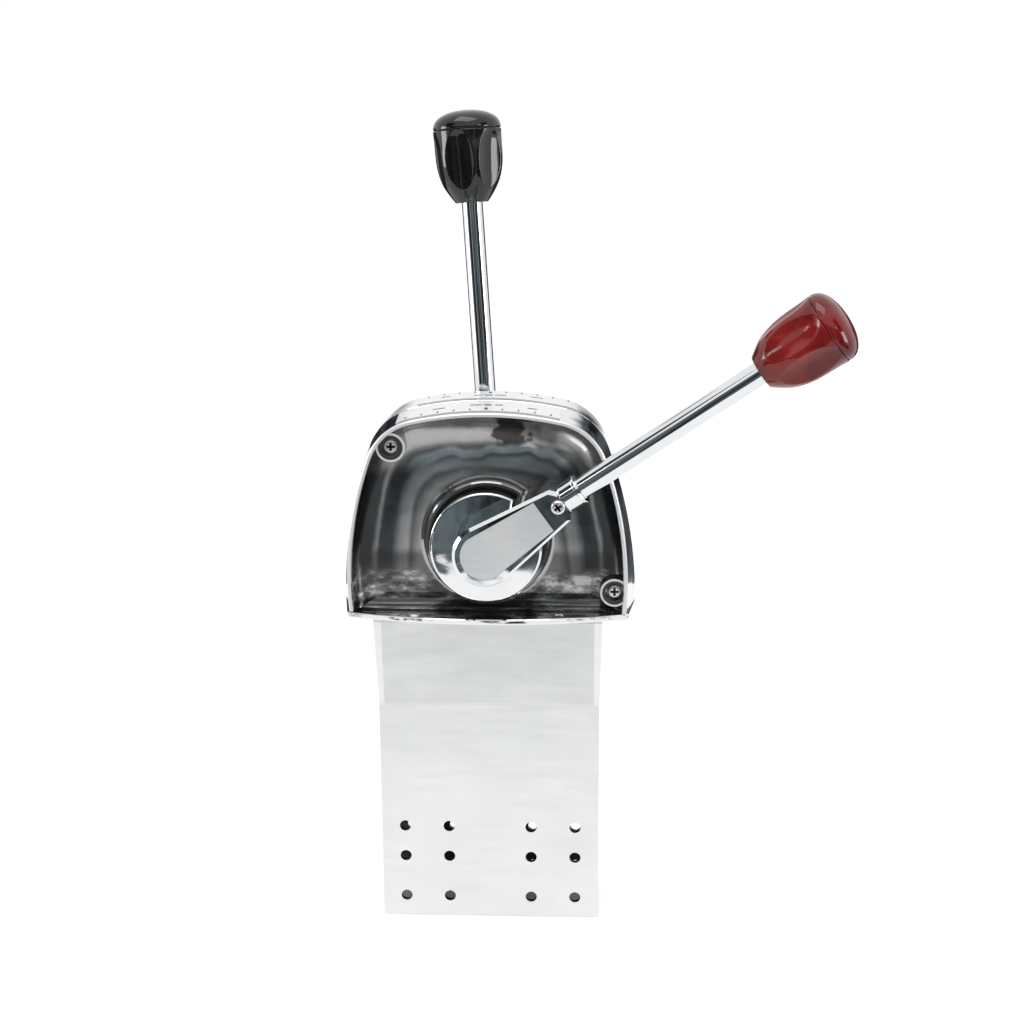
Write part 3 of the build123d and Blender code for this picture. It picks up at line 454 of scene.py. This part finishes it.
# the ledge's streaks and the ring's dark and grey bands are painted reflections in the same way
ledge = reckon(tree, "MULTIPLY", fade_in(tree, height, 0.0036, 0.0032), fade_in(tree, height, 0.0024, 0.0029))
ledge = reckon(tree, "MULTIPLY", ledge, fade_in(tree, depth, 0.0170, 0.0180))
streaks = mottle(tree, place, 90.0, 3.0, 0.6, stretch=(0.12, 1.0, 1.0))
shelf = tones(tree, streaks, (0.36, (0.14, 0.14, 0.14)), (0.52, (0.42, 0.42, 0.42)),
              (0.64, (0.80, 0.80, 0.80)))
ring = reckon(tree, "MULTIPLY", fade_in(tree, to_pivot, 0.0384, 0.0370), fade_in(tree, depth, 0.0170, 0.0175))
RING_TONES_PER_METRE = 25.0
ring_tone = tones(tree, reckon(tree, "MULTIPLY", to_pivot, RING_TONES_PER_METRE),
                  (0.79, (0.05, 0.05, 0.052)), (0.815, (0.28, 0.28, 0.285)), (0.855, (0.30, 0.30, 0.30)),
                  (0.865, (0.10, 0.10, 0.105)), (0.89, (0.42, 0.42, 0.42)), (0.95, (0.46, 0.455, 0.45)))
# the rim and the tops of the bosses are satin, and the ledge's front edge is mottled dark and pale
SATIN_RIM, RIM_FACE, RIM_EDGE = (0.84, 0.845, 0.85), (0.0276, 0.0279), (-0.0008, 0.0002)
belted = reckon(tree, "MULTIPLY", fade_in(tree, depth, *RIM_FACE), fade_in(tree, inset, *RIM_EDGE))
belted = reckon(tree, "MULTIPLY", belted, fade_in(tree, height, *ABOVE_LEDGE))
# each boss has a dark face inside a bright edge, round one of the two screws; the dark face is painted shade
UPPER_SCREW_X, UPPER_SCREW_Z, LOWER_SCREW_X, LOWER_SCREW_Z = 0.052, 0.0965, 0.0704, 0.0147
from_boss = None
for boss_x, boss_z in ((UPPER_SCREW_X, UPPER_SCREW_Z), (LOWER_SCREW_X, LOWER_SCREW_Z)):
    reach = apart(tree, reckon(tree, "SUBTRACT", side_on, boss_x), reckon(tree, "SUBTRACT", height, boss_z))
    from_boss = reach if from_boss is None else reckon(tree, "MINIMUM", from_boss, reach)
BOSS_EDGE, BOSS_PAST_RIM = (0.0071, 0.0066), (0.0016, 0.0024)
boss_painted_shade = reckon(tree, "MULTIPLY", fade_in(tree, from_boss, *BOSS_EDGE),
                   fade_in(tree, inset, *BOSS_PAST_RIM))
boss_painted_shade = reckon(tree, "MULTIPLY", boss_painted_shade, belted)
ledge_edge_mottle = mottle(tree, place, 120.0, 4.0, 0.7, stretch=(0.25, 1.0, 1.0))
mottled_ledge_edge = tones(tree, ledge_edge_mottle, (0.40, (0.05, 0.05, 0.05)), (0.47, (0.75, 0.755, 0.76)))
lip = reckon(tree, "MULTIPLY", fade_in(tree, height, 0.0025, 0.0023), fade_in(tree, height, 0.0006, 0.0010))
colour = blend(tree, in_dish, bright, skin)
colour = blend(tree, ledge, colour, shelf)
colour = blend(tree, ring, colour, ring_tone)
colour = blend(tree, belted, colour, SATIN_RIM)
colour = blend(tree, boss_painted_shade, colour, (0.05, 0.05, 0.052))
colour = blend(tree, lip, colour, mottled_ledge_edge)
dulled = reckon(tree, "MULTIPLY", reckon(tree, "MAXIMUM", in_dish, ring), 0.22)
metal = reckon(tree, "SUBTRACT", 1.0, dulled)
metal = reckon(tree, "SUBTRACT", metal, reckon(tree, "MULTIPLY", belted, 0.6))
tree.links.new(metal, shader.inputs["Metallic"])
buffed = between(tree, smear, 0.35, 0.7, 0.035, 0.085)
cast = between(tree, patch_spots, 0.35, 0.65, 0.16, 0.26)
worked = reckon(tree, "ADD", reckon(tree, "MULTIPLY", buffed, reckon(tree, "SUBTRACT", 1.0, in_dish)),
                reckon(tree, "MULTIPLY", cast, in_dish))
surface(tree, shader, colour, reckon(tree, "ADD", worked, reckon(tree, "MULTIPLY", belted, 0.35)))
relief(tree, shader, (mottle(tree, place, 22.0, 2.0), 0.0011),
       (mottle(tree, place, 900.0, 2.0), 0.0000045))
dress(chrome, "throttle_side_housing", "shift_side_housing")


# ---- Scale strips -----------------------------------------------------------------------------
# Thin satin aluminium strips stuck on the crown of each half, brushed along their length.
satin, tree, shader, place = new_finish("satin_strip", metallic=0.55)
grain = mottle(tree, place, 900.0, 3.0, 0.6, stretch=(0.04, 1.0, 1.0))
surface(tree, shader, tones(tree, grain, (0.3, (0.84, 0.845, 0.85)), (0.7, (0.93, 0.93, 0.935))),
        between(tree, grain, 0.3, 0.7, 0.30, 0.42))
relief(tree, shader, (grain, 0.00001))
dress(satin, "throttle_scale_plate", "shift_scale_plate")


def printed_marks(name, sign, finish):
    """Dots and dashes on the crown. Each mark is a thin slab round its place. Its outline is
    (a c, b s) over the p-th root of |c|^p + |s|^p, where c and s are the cosine and sine of the
    turn and a and b its half length and half width. The crown's height there is that of the
    parting plane and that of the rim, shared out by |Y| over the half depth, where each is the
    top less the radius plus the root of radius^2 - x^2, and the strip lies on it."""
    INK, STRIP, HALF_DEPTH = 0.00006, 0.0006, 0.030
    PARTING_TOP, PARTING_R, RIM_TOP, RIM_R = 0.117, 0.198, 0.1162, 0.190
    # along the crown, out from the parting plane, half length, half width and power
    spots = [(0.0088 * k, 0.0226, 0.00050, 0.0015, 3.0) for k in range(-5, 5) if k]
    spots += [(0.0, 0.0214, 0.00085, 0.0026, 3.0), (0.0004, 0.0128, 0.0021, 0.0012, 8.0)]
    spots += [(-0.0062, 0.0128, 0.0032, 0.0008, 8.0), (0.0066, 0.0128, 0.0022, 0.0008, 8.0)]
    spots += [(-0.0262, 0.0150, 0.0036, 0.0007, 8.0), (0.0248, 0.0150, 0.0026, 0.0007, 8.0)]
    # drawn clockwise, because each side's marks are mirrored once below
    turn = -np.linspace(0.0, 2.0 * np.pi, 28, endpoint=False)
    c, s = np.cos(turn), np.sin(turn)
    place = np.array([spot[:2] for spot in spots])
    half = np.array([spot[2:4] for spot in spots])
    power = np.array([spot[4] for spot in spots])[:, None]
    round_off = (np.abs(c) ** power + np.abs(s) ** power) ** (-1.0 / power)
    x = place[:, :1] + half[:, :1] * c * round_off
    y = place[:, 1:] + half[:, 1:] * s * round_off

    def crown_z(x, y):
        """Height of the strip's top, from the parting plane's arc and the rim's."""
        share = y / HALF_DEPTH
        parting = PARTING_TOP - PARTING_R + np.sqrt(PARTING_R ** 2 - x ** 2)
        rim = RIM_TOP - RIM_R + np.sqrt(RIM_R ** 2 - x ** 2)
        return parting * (1.0 - share) + rim * share + STRIP

    top = np.stack([x, y, crown_z(x, y) + INK], axis=-1)
    under = np.stack([x, y, crown_z(x, y) - INK], axis=-1)
    rings = np.stack([under, top], axis=1).reshape(-1, 3)
    rings[:, :2] *= (-sign, sign)
    count, around = len(spots), len(turn)
    base = (np.arange(count) * 2 * around)[:, None]
    k = np.arange(around)
    nxt = (k + 1) % around
    walls = np.stack([base + k, base + nxt, base + nxt + around, base + k + around], axis=-1).reshape(-1, 4)
    caps = base + around + k
    bottoms = base + k[::-1]
    faces = [tuple(f) for f in walls.tolist() + caps.tolist() + bottoms.tolist()]
    slab = bpy.data.meshes.new(name)
    slab.from_pydata(rings.tolist(), [], faces)
    piece = bpy.data.objects.new(name, slab)
    bpy.context.scene.collection.objects.link(piece)
    slab.materials.append(finish)
    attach(piece, "housing")


ink, tree, shader, place = new_finish("etched_ink", roughness=0.5)
wear = mottle(tree, place, 2200.0, 3.0, 0.6)
surface(tree, shader, tones(tree, wear, (0.4, (0.015, 0.015, 0.017)), (0.75, (0.09, 0.09, 0.10))),
        between(tree, wear, 0.3, 0.7, 0.38, 0.6))
printed_marks("throttle_scale_marks", -1, ink)
printed_marks("shift_scale_marks", 1, ink)


# ---- Screws -----------------------------------------------------------------------------------
# Cross-head machine screws in bright stainless steel, in the castings, the arms and the shafts.
# Their recesses are painted dark, as painted shade inside them.
def screw_steel(name, face, recess_r, spots):
    """Bright steel with painted shade below the heads' faces, within recess_r of each screw's axis."""
    finish, tree, shader, place = new_finish(name, metallic=0.85)
    oil = mottle(tree, place, 420.0, 3.0, 0.6)
    steel = tones(tree, oil, (0.35, (0.72, 0.72, 0.71)), (0.6, (0.88, 0.88, 0.875)))
    if spots:
        across, depth, height = axes(tree, place)
        nearest = None
        for x, z in spots:
            gap = apart(tree, reckon(tree, "SUBTRACT", across, x), reckon(tree, "SUBTRACT", height, z))
            nearest = gap if nearest is None else reckon(tree, "MINIMUM", nearest, gap)
        below_face = fade_in(tree, reckon(tree, "ABSOLUTE", depth), face - 0.0001, face - 0.0003)
        sunk = reckon(tree, "MULTIPLY", fade_in(tree, nearest, recess_r, recess_r - 0.0003), below_face)
        steel = blend(tree, sunk, steel, (0.012, 0.012, 0.012))
    surface(tree, shader, steel, between(tree, oil, 0.3, 0.7, 0.26, 0.40))
    relief(tree, shader, (mottle(tree, place, 1500.0, 2.0), 0.000006))
    return finish


# how far out each head's face lies, and how wide its recess is
HOUSING_HEAD, HOUSING_RECESS, CLAMP_HEAD, CLAMP_RECESS = 0.026, 0.0026, 0.0569, 0.0024
throttle_side = ((-UPPER_SCREW_X, UPPER_SCREW_Z), (LOWER_SCREW_X, LOWER_SCREW_Z))
shift_side = ((UPPER_SCREW_X, UPPER_SCREW_Z), (-LOWER_SCREW_X, LOWER_SCREW_Z))
dress(screw_steel("throttle_housing_screw_steel", HOUSING_HEAD, HOUSING_RECESS, throttle_side),
      "throttle_side_housing_screws")
dress(screw_steel("shift_housing_screw_steel", HOUSING_HEAD, HOUSING_RECESS, shift_side),
      "shift_side_housing_screws")
dress(screw_steel("throttle_clamp_screw_steel", CLAMP_HEAD, CLAMP_RECESS, ((0.03966, 0.07108),)),
      "throttle_clamp_screw")
dress(screw_steel("shift_clamp_screw_steel", CLAMP_HEAD, CLAMP_RECESS, ((-0.00322, 0.09149),)),
      "shift_clamp_screw")
dress(screw_steel("bright_screw_steel", 0.0, 0.0, ()), "throttle_hanger_screws", "shift_hanger_screws",
      "throttle_arm_screw", "shift_arm_screw", "throttle_crank_washer", "shift_crank_washer",
      "throttle_crank_nut", "shift_crank_nut")


# ---- Hangers ----------------------------------------------------------------------------------
# Plates blanked and folded from 3 mm stainless sheet, tumbled to a fine satin, with twelve
# punched clamp holes each.
sheet_steel, tree, shader, place = new_finish("tumbled_sheet", metallic=1.0)
roll = mottle(tree, place, 260.0, 4.0, 0.65, stretch=(0.12, 1.0, 1.0))
cloud = mottle(tree, place, 14.0, 3.0, 0.55)
tumbled = tones(tree, cloud, (0.3, (0.84, 0.845, 0.845)), (0.7, (0.90, 0.90, 0.895)))
# the insides of the plates and the punched edges of the holes are painted dark, as painted shade between the
# plates
OUTER_FACE, ABOVE_JOGGLE, IN_FROM_SIDES = (0.0215, 0.0220), (-0.0555, -0.0525), (0.0600, 0.0590)
across, depth, height = axes(tree, place)
outer_face = fade_in(tree, reckon(tree, "ABSOLUTE", depth), *OUTER_FACE)
inner_painted_shade = tones(tree, roll, (0.3, (0.035, 0.036, 0.038)), (0.7, (0.09, 0.09, 0.092)))
# above the joggle, and in from the side edges, the satin is painted a duller grey, as painted shade under the
# flange
slope = fade_in(tree, height, *ABOVE_JOGGLE)
inner_width = fade_in(tree, reckon(tree, "ABSOLUTE", across), *IN_FROM_SIDES)
slope_shade_mask = reckon(tree, "MULTIPLY", slope, inner_width)
slope_shade_mottle = mottle(tree, place, 34.0, 4.0, 0.6, stretch=(0.5, 1.0, 1.0))
slope_painted_shade = tones(tree, slope_shade_mottle, (0.35, (0.66, 0.665, 0.665)), (0.65, (0.74, 0.745, 0.745)))
tumbled = blend(tree, slope_shade_mask, tumbled, slope_painted_shade)
surface(tree, shader, blend(tree, outer_face, inner_painted_shade, tumbled), between(tree, roll, 0.3, 0.7, 0.34, 0.46))
relief(tree, shader, (roll, 0.00001), (mottle(tree, place, 1800.0, 2.0), 0.000004))
dress(sheet_steel, "throttle_hanger", "shift_hanger")


# ---- Bearings ---------------------------------------------------------------------------------
# Oil-filled sintered bronze bushes pressed into the castings, with nylon thrust washers inside.
bronze, tree, shader, place = new_finish("sintered_bronze", metallic=1.0)
pore = mottle(tree, place, 2600.0, 2.0, 0.7)
surface(tree, shader, tones(tree, pore, (0.35, (0.30, 0.19, 0.09)), (0.55, (0.62, 0.44, 0.23))),
        between(tree, pore, 0.3, 0.7, 0.55, 0.36))
relief(tree, shader, (pore, 0.00003))
dress(bronze, "throttle_bush", "shift_bush")

nylon, tree, shader, place = new_finish("natural_nylon", roughness=0.45)
haze = mottle(tree, place, 120.0, 3.0, 0.5)
surface(tree, shader, tones(tree, haze, (0.3, (0.80, 0.78, 0.71)), (0.7, (0.88, 0.87, 0.82))),
        between(tree, haze, 0.3, 0.7, 0.40, 0.52))
shader.inputs["Subsurface Weight"].default_value = 0.15
shader.inputs["Subsurface Scale"].default_value = 0.001
dress(nylon, "throttle_thrust_washer", "shift_thrust_washer", "throttle_brake_pad")


# ---- Brake and detent -------------------------------------------------------------------------
# A spring pushes a nylon pad (throttle) or a ground ball (shift) against the back of the disc.
wire, tree, shader, place = new_finish("drawn_wire", metallic=1.0)
draw = mottle(tree, place, 1400.0, 2.0, 0.5)
surface(tree, shader, tones(tree, draw, (0.3, (0.42, 0.42, 0.43)), (0.7, (0.60, 0.60, 0.61))),
        between(tree, draw, 0.3, 0.7, 0.2, 0.34))
dress(wire, "throttle_brake_spring", "shift_detent_spring")

ground_ball, tree, shader, place = new_finish("ground_ball", metallic=1.0)
grease = mottle(tree, place, 300.0, 3.0, 0.5)
surface(tree, shader, tones(tree, grease, (0.4, (0.66, 0.65, 0.62)), (0.65, (0.80, 0.80, 0.80))),
        between(tree, grease, 0.4, 0.7, 0.05, 0.2))
dress(ground_ball, "shift_detent_ball")


# ---- Lever shafts -----------------------------------------------------------------------------
# Turned stainless bar with fine turning rings, flats for the crank and a thread for its nut.
turned, tree, shader, place = new_finish("turned_bar", metallic=1.0)
rings = mottle(tree, place, 2400.0, 2.0, 0.5, stretch=(0.02, 1.0, 0.02))
surface(tree, shader, tones(tree, rings, (0.3, (0.58, 0.58, 0.585)), (0.7, (0.72, 0.72, 0.725))),
        between(tree, rings, 0.3, 0.7, 0.16, 0.3))
relief(tree, shader, (rings, 0.000008))
dress(turned, "throttle_shaft", "shift_shaft", "throttle_cable_pin", "shift_cable_pin")


# ---- Discs, arms and collars ------------------------------------------------------------------
# Chrome-plated castings like the housing, on smaller faces and so less wavy. A screw under the
# nameplate clamps arm and disc to the shaft.
bright_chrome, tree, shader, place = new_finish("bright_chrome", metallic=1.0)
smear = mottle(tree, place, 60.0, 4.0, 0.6, twist=0.4)
surface(tree, shader, tones(tree, smear, (0.3, (0.82, 0.83, 0.835)), (0.7, (0.76, 0.77, 0.78))),
        between(tree, smear, 0.35, 0.7, 0.03, 0.07))
relief(tree, shader, (mottle(tree, place, 40.0, 2.0), 0.0003),
       (mottle(tree, place, 1200.0, 2.0), 0.000003))
dress(bright_chrome, "throttle_arm", "shift_arm", "throttle_collar", "shift_collar")

disc_chrome, tree, shader, place = new_finish("disc_chrome", metallic=1.0)
across, depth, height = axes(tree, place)
radius = apart(tree, across, reckon(tree, "SUBTRACT", height, PIVOT_Z))
smear = mottle(tree, place, 60.0, 4.0, 0.6, twist=0.4)
face = tones(tree, smear, (0.3, (0.82, 0.83, 0.835)), (0.7, (0.76, 0.77, 0.78)))
# the turned side of the disc is painted dark behind its polished edge, as a painted reflection
AT_SIDE, BEHIND_EDGE = (0.0305, 0.0308), (0.0368, 0.0362)
side = reckon(tree, "MULTIPLY", fade_in(tree, radius, *AT_SIDE),
              fade_in(tree, reckon(tree, "ABSOLUTE", depth), *BEHIND_EDGE))
surface(tree, shader, blend(tree, side, face, (0.08, 0.082, 0.085)),
        between(tree, smear, 0.35, 0.7, 0.03, 0.07))
relief(tree, shader, (mottle(tree, place, 40.0, 2.0), 0.0003),
       (mottle(tree, place, 1200.0, 2.0), 0.000003))
dress(disc_chrome, "throttle_hub_disc", "shift_hub_disc")


# ---- Nameplates -------------------------------------------------------------------------------
# Thin anodised aluminium plates let into the arms, brushed along the arm and left bare.
def anodised_plate(name, arm_angle):
    """Anodised metal with a fine grain along an arm that stands at an angle, in degrees."""
    finish, tree, shader, place = new_finish(name, metallic=0.40)
    grain = mottle(tree, place, 1100.0, 3.0, 0.6, stretch=(0.05, 1.0, 1.0),
                   turn=(0.0, math.radians(arm_angle), 0.0))
    haze = mottle(tree, place, 26.0, 2.0, 0.5)
    plate = tones(tree, haze, (0.32, (0.74, 0.78, 0.81)), (0.68, (0.88, 0.87, 0.86)))
    brushed = tones(tree, grain, (0.3, (0.92, 0.92, 0.92)), (0.7, (1.0, 1.0, 1.0)))
    toned = tree.nodes.new("ShaderNodeMix")
    toned.data_type, toned.blend_type = "RGBA", "MULTIPLY"
    toned.inputs["Factor"].default_value = 1.0
    tree.links.new(plate, toned.inputs[6])
    tree.links.new(brushed, toned.inputs[7])
    surface(tree, shader, toned.outputs[2], between(tree, grain, 0.3, 0.7, 0.34, 0.46))
    relief(tree, shader, (grain, 0.000006))
    return finish


THROTTLE_ANGLE, SHIFT_ANGLE = 35.3, 93.8
dress(anodised_plate("throttle_anodised", THROTTLE_ANGLE), "throttle_nameplate")
dress(anodised_plate("shift_anodised", SHIFT_ANGLE), "shift_nameplate")


# ---- Rods -------------------------------------------------------------------------------------
# Centreless-ground and polished 12 mm stainless bar.
polished, tree, shader, place = new_finish("polished_bar", metallic=1.0)
wipe = mottle(tree, place, 70.0, 3.0, 0.6)
surface(tree, shader, tones(tree, wipe, (0.3, (0.80, 0.81, 0.82)), (0.7, (0.74, 0.75, 0.76))),
        between(tree, wipe, 0.35, 0.7, 0.03, 0.075))
relief(tree, shader, (mottle(tree, place, 900.0, 2.0), 0.000003))
dress(polished, "throttle_rod", "shift_rod")


# ---- Knobs ------------------------------------------------------------------------------------
# Injection-moulded grips with separate caps, dense and glossy: red for the throttle, black for
# the shift. The gloss shows slight sink in the thick walls and fine scuffs from hands.
def gloss_plastic(name, deep, light, specular):
    """Dense moulded colour between a deep and a light tone, with fine scuffs in its gloss."""
    finish, tree, shader, place = new_finish(name)
    tint = mottle(tree, place, 45.0, 3.0, 0.5)
    scuff = mottle(tree, place, 240.0, 4.0, 0.7)
    surface(tree, shader, tones(tree, tint, (0.3, deep), (0.7, light)),
            between(tree, scuff, 0.35, 0.75, 0.05, 0.13))
    shader.inputs["Specular IOR Level"].default_value = specular
    relief(tree, shader, (mottle(tree, place, 90.0, 2.0), 0.00012),
           (mottle(tree, place, 1600.0, 2.0), 0.000004))
    return finish


# the rod starts this far along the arm and out along the shaft, leans by some degrees, and
# carries the knob's foot this far up
ARM_END, ROD_OUT, ROD_LEAN, KNOB_FOOT = 0.0531, 0.0464, 5.8, 0.1243
# heights are above the knob's foot
BORE, FOOT_R, SEAM_AT = 0.00603, 0.0093, 0.0404
CAP_FROM, CAP_R, CAP_SPRING, CAP_TOP, CAP_POWER = 0.04085, 0.01925, 0.0416, 0.0517, 2.2
HOLLOWS, HOLLOW_AT, HOLLOW_LONG, HOLLOW_WIDE, HOLLOW_DEEP = 6, 0.0240, 0.0166, 0.0086, 0.0034


def on_lever_rod(sign, lever_angle, around, out, along):
    """Points at an angle round the leaning rod, a radius out and a height above the knob's foot."""
    a, lean = math.radians(lever_angle), math.radians(ROD_LEAN)
    arm = np.array([math.cos(a), 0.0, math.sin(a)])
    shaft = np.array([0.0, sign, 0.0])
    beside = np.cross(shaft, arm)
    axis = arm * math.cos(lean) + shaft * math.sin(lean)
    outward = shaft * math.cos(lean) - arm * math.sin(lean)
    root = np.array([0.0, 0.0, PIVOT_Z]) + arm * ARM_END + shaft * ROD_OUT + axis * KNOB_FOOT
    return (root + axis * along[..., None] + beside * (out * np.cos(around))[..., None]
            + outward * (out * np.sin(around))[..., None])


def turned_piece(name, node, body, points, closed, finish):
    """A smooth piece from rings of points (ring, step, xyz); open ends close on their middle."""
    rings, steps = points.shape[:2]
    k = np.arange(steps)
    nxt = (k + 1) % steps
    pairs = np.arange(rings if closed else rings - 1)[:, None]
    above = (pairs + 1) % rings
    quads = np.stack([pairs * steps + k, pairs * steps + nxt, above * steps + nxt, above * steps + k],
                     axis=-1).reshape(-1, 4)
    faces = [tuple(f) for f in quads.tolist()]
    spots = points.reshape(-1, 3)
    if not closed:
        ends = np.stack([points[0].mean(axis=0), points[-1].mean(axis=0)])
        spots = np.concatenate([spots, ends])
        first, last = rings * steps, rings * steps + 1
        faces += [(first, int(b), int(a)) for a, b in zip(k, nxt)]
        far = (rings - 1) * steps
        faces += [(last, int(a) + far, int(b) + far) for a, b in zip(k, nxt)]
    shape = bpy.data.meshes.new(name)
    shape.from_pydata(spots.tolist(), [], faces)
    shape.polygons.foreach_set("use_smooth", np.ones(len(faces), bool))
    shape.materials.append(finish)
    piece = bpy.data.objects.new(name, shape)
    bpy.context.scene.collection.objects.link(piece)
    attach(piece, body)
    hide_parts(node)


def grip(lever, sign, lever_angle, first_hollow, finish):
    """The grip: a quartic fitted through the widths of the moulding, less six hollows of depth
    d (1 - u^2 - v^2)^0.85, where u is the way round over the hollow's half width and v the way
    along over its half length. The cap is the superellipse (r/R)^n + (h/H)^n = 1, where R is its
    radius, H its rise above the spring line and n the cap's power."""
    heights = np.array([0.0, 4.3, 8.9, 15.8, 25.0, 33.0, 40.4]) / 1000
    widths = np.array([9.3, 12.3, 15.3, 18.2, 19.4, 19.5, 19.4]) / 1000
    curve = np.polyfit(heights, widths, 4)
    around = np.linspace(0.0, 2.0 * np.pi, 288, endpoint=False)
    at_seam = [SEAM_AT - 0.0001, SEAM_AT + 0.0001, SEAM_AT + 0.0003]
    up = np.concatenate([np.linspace(0.0003, 0.0401, 118), at_seam])
    side = np.polyval(curve, up)
    side[-3:] -= np.array([0.00005, 0.00018, 0.0004])
    along = np.concatenate([[0.0, 0.0, 0.0], up, [SEAM_AT + 0.0004, SEAM_AT + 0.0004, 0.030]])
    out = np.concatenate([[BORE, FOOT_R - 0.0012, side[0] - 0.0002], side, [side[-1] - 0.0008, BORE, BORE]])
    turn, height = np.meshgrid(around, along)
    reach = np.repeat(out[:, None], len(around), axis=1)
    pitch = 2.0 * np.pi / HOLLOWS
    off = (turn - math.radians(first_hollow) + pitch / 2) % pitch - pitch / 2
    u, v = off * reach / HOLLOW_WIDE, (height - HOLLOW_AT) / HOLLOW_LONG
    sunk = HOLLOW_DEEP * np.clip(1.0 - u * u - v * v, 0.0, 1.0) ** 0.85
    skin = (np.arange(len(along)) > 2) & (np.arange(len(along)) < len(along) - 3)
    reach = reach - sunk * skin[:, None]
    turned_piece(lever + "_grip", lever + "_knob", lever + "_lever",
                 on_lever_rod(sign, lever_angle, turn, reach, height), True, finish)

    swing = np.linspace(0.0, np.pi / 2, 44)[:-1]
    rise = CAP_SPRING + (CAP_TOP - CAP_SPRING) * np.sin(swing) ** (2.0 / CAP_POWER)
    span = CAP_R * np.cos(swing) ** (2.0 / CAP_POWER)
    along = np.concatenate([[CAP_FROM, CAP_FROM, CAP_FROM + 0.0001, CAP_FROM + 0.0004], rise])
    out = np.concatenate([[0.010, CAP_R - 0.0008, CAP_R - 0.0003, CAP_R - 0.00005], span])
    turn, height = np.meshgrid(around, along)
    reach = np.repeat(out[:, None], len(around), axis=1)
    turned_piece(lever + "_grip_cap", lever + "_knob_cap", lever + "_lever",
                 on_lever_rod(sign, lever_angle, turn, reach, height), False, finish)


red = gloss_plastic("red_gloss", (0.11, 0.005, 0.006), (0.29, 0.019, 0.016), 0.42)
black = gloss_plastic("black_gloss", (0.004, 0.004, 0.0045), (0.010, 0.010, 0.011), 0.55)
dress(red, "throttle_knob", "throttle_knob_cap")
dress(black, "shift_knob", "shift_knob_cap")
grip("throttle", -1, THROTTLE_ANGLE, -3.0, red)
grip("shift", 1, SHIFT_ANGLE, 17.0, black)


# ---- Cranks -----------------------------------------------------------------------------------
# Double-ended cranks cut from 4 mm steel plate and zinc plated with a yellow-grey passivation.
zinc, tree, shader, place = new_finish("passivated_zinc", metallic=1.0)
bloom = mottle(tree, place, 75.0, 4.0, 0.6)
surface(tree, shader, tones(tree, bloom, (0.3, (0.62, 0.58, 0.46)), (0.7, (0.66, 0.67, 0.66))),
        between(tree, bloom, 0.3, 0.7, 0.34, 0.5))
relief(tree, shader, (mottle(tree, place, 900.0, 3.0), 0.00001))
dress(zinc, "throttle_crank", "shift_crank")
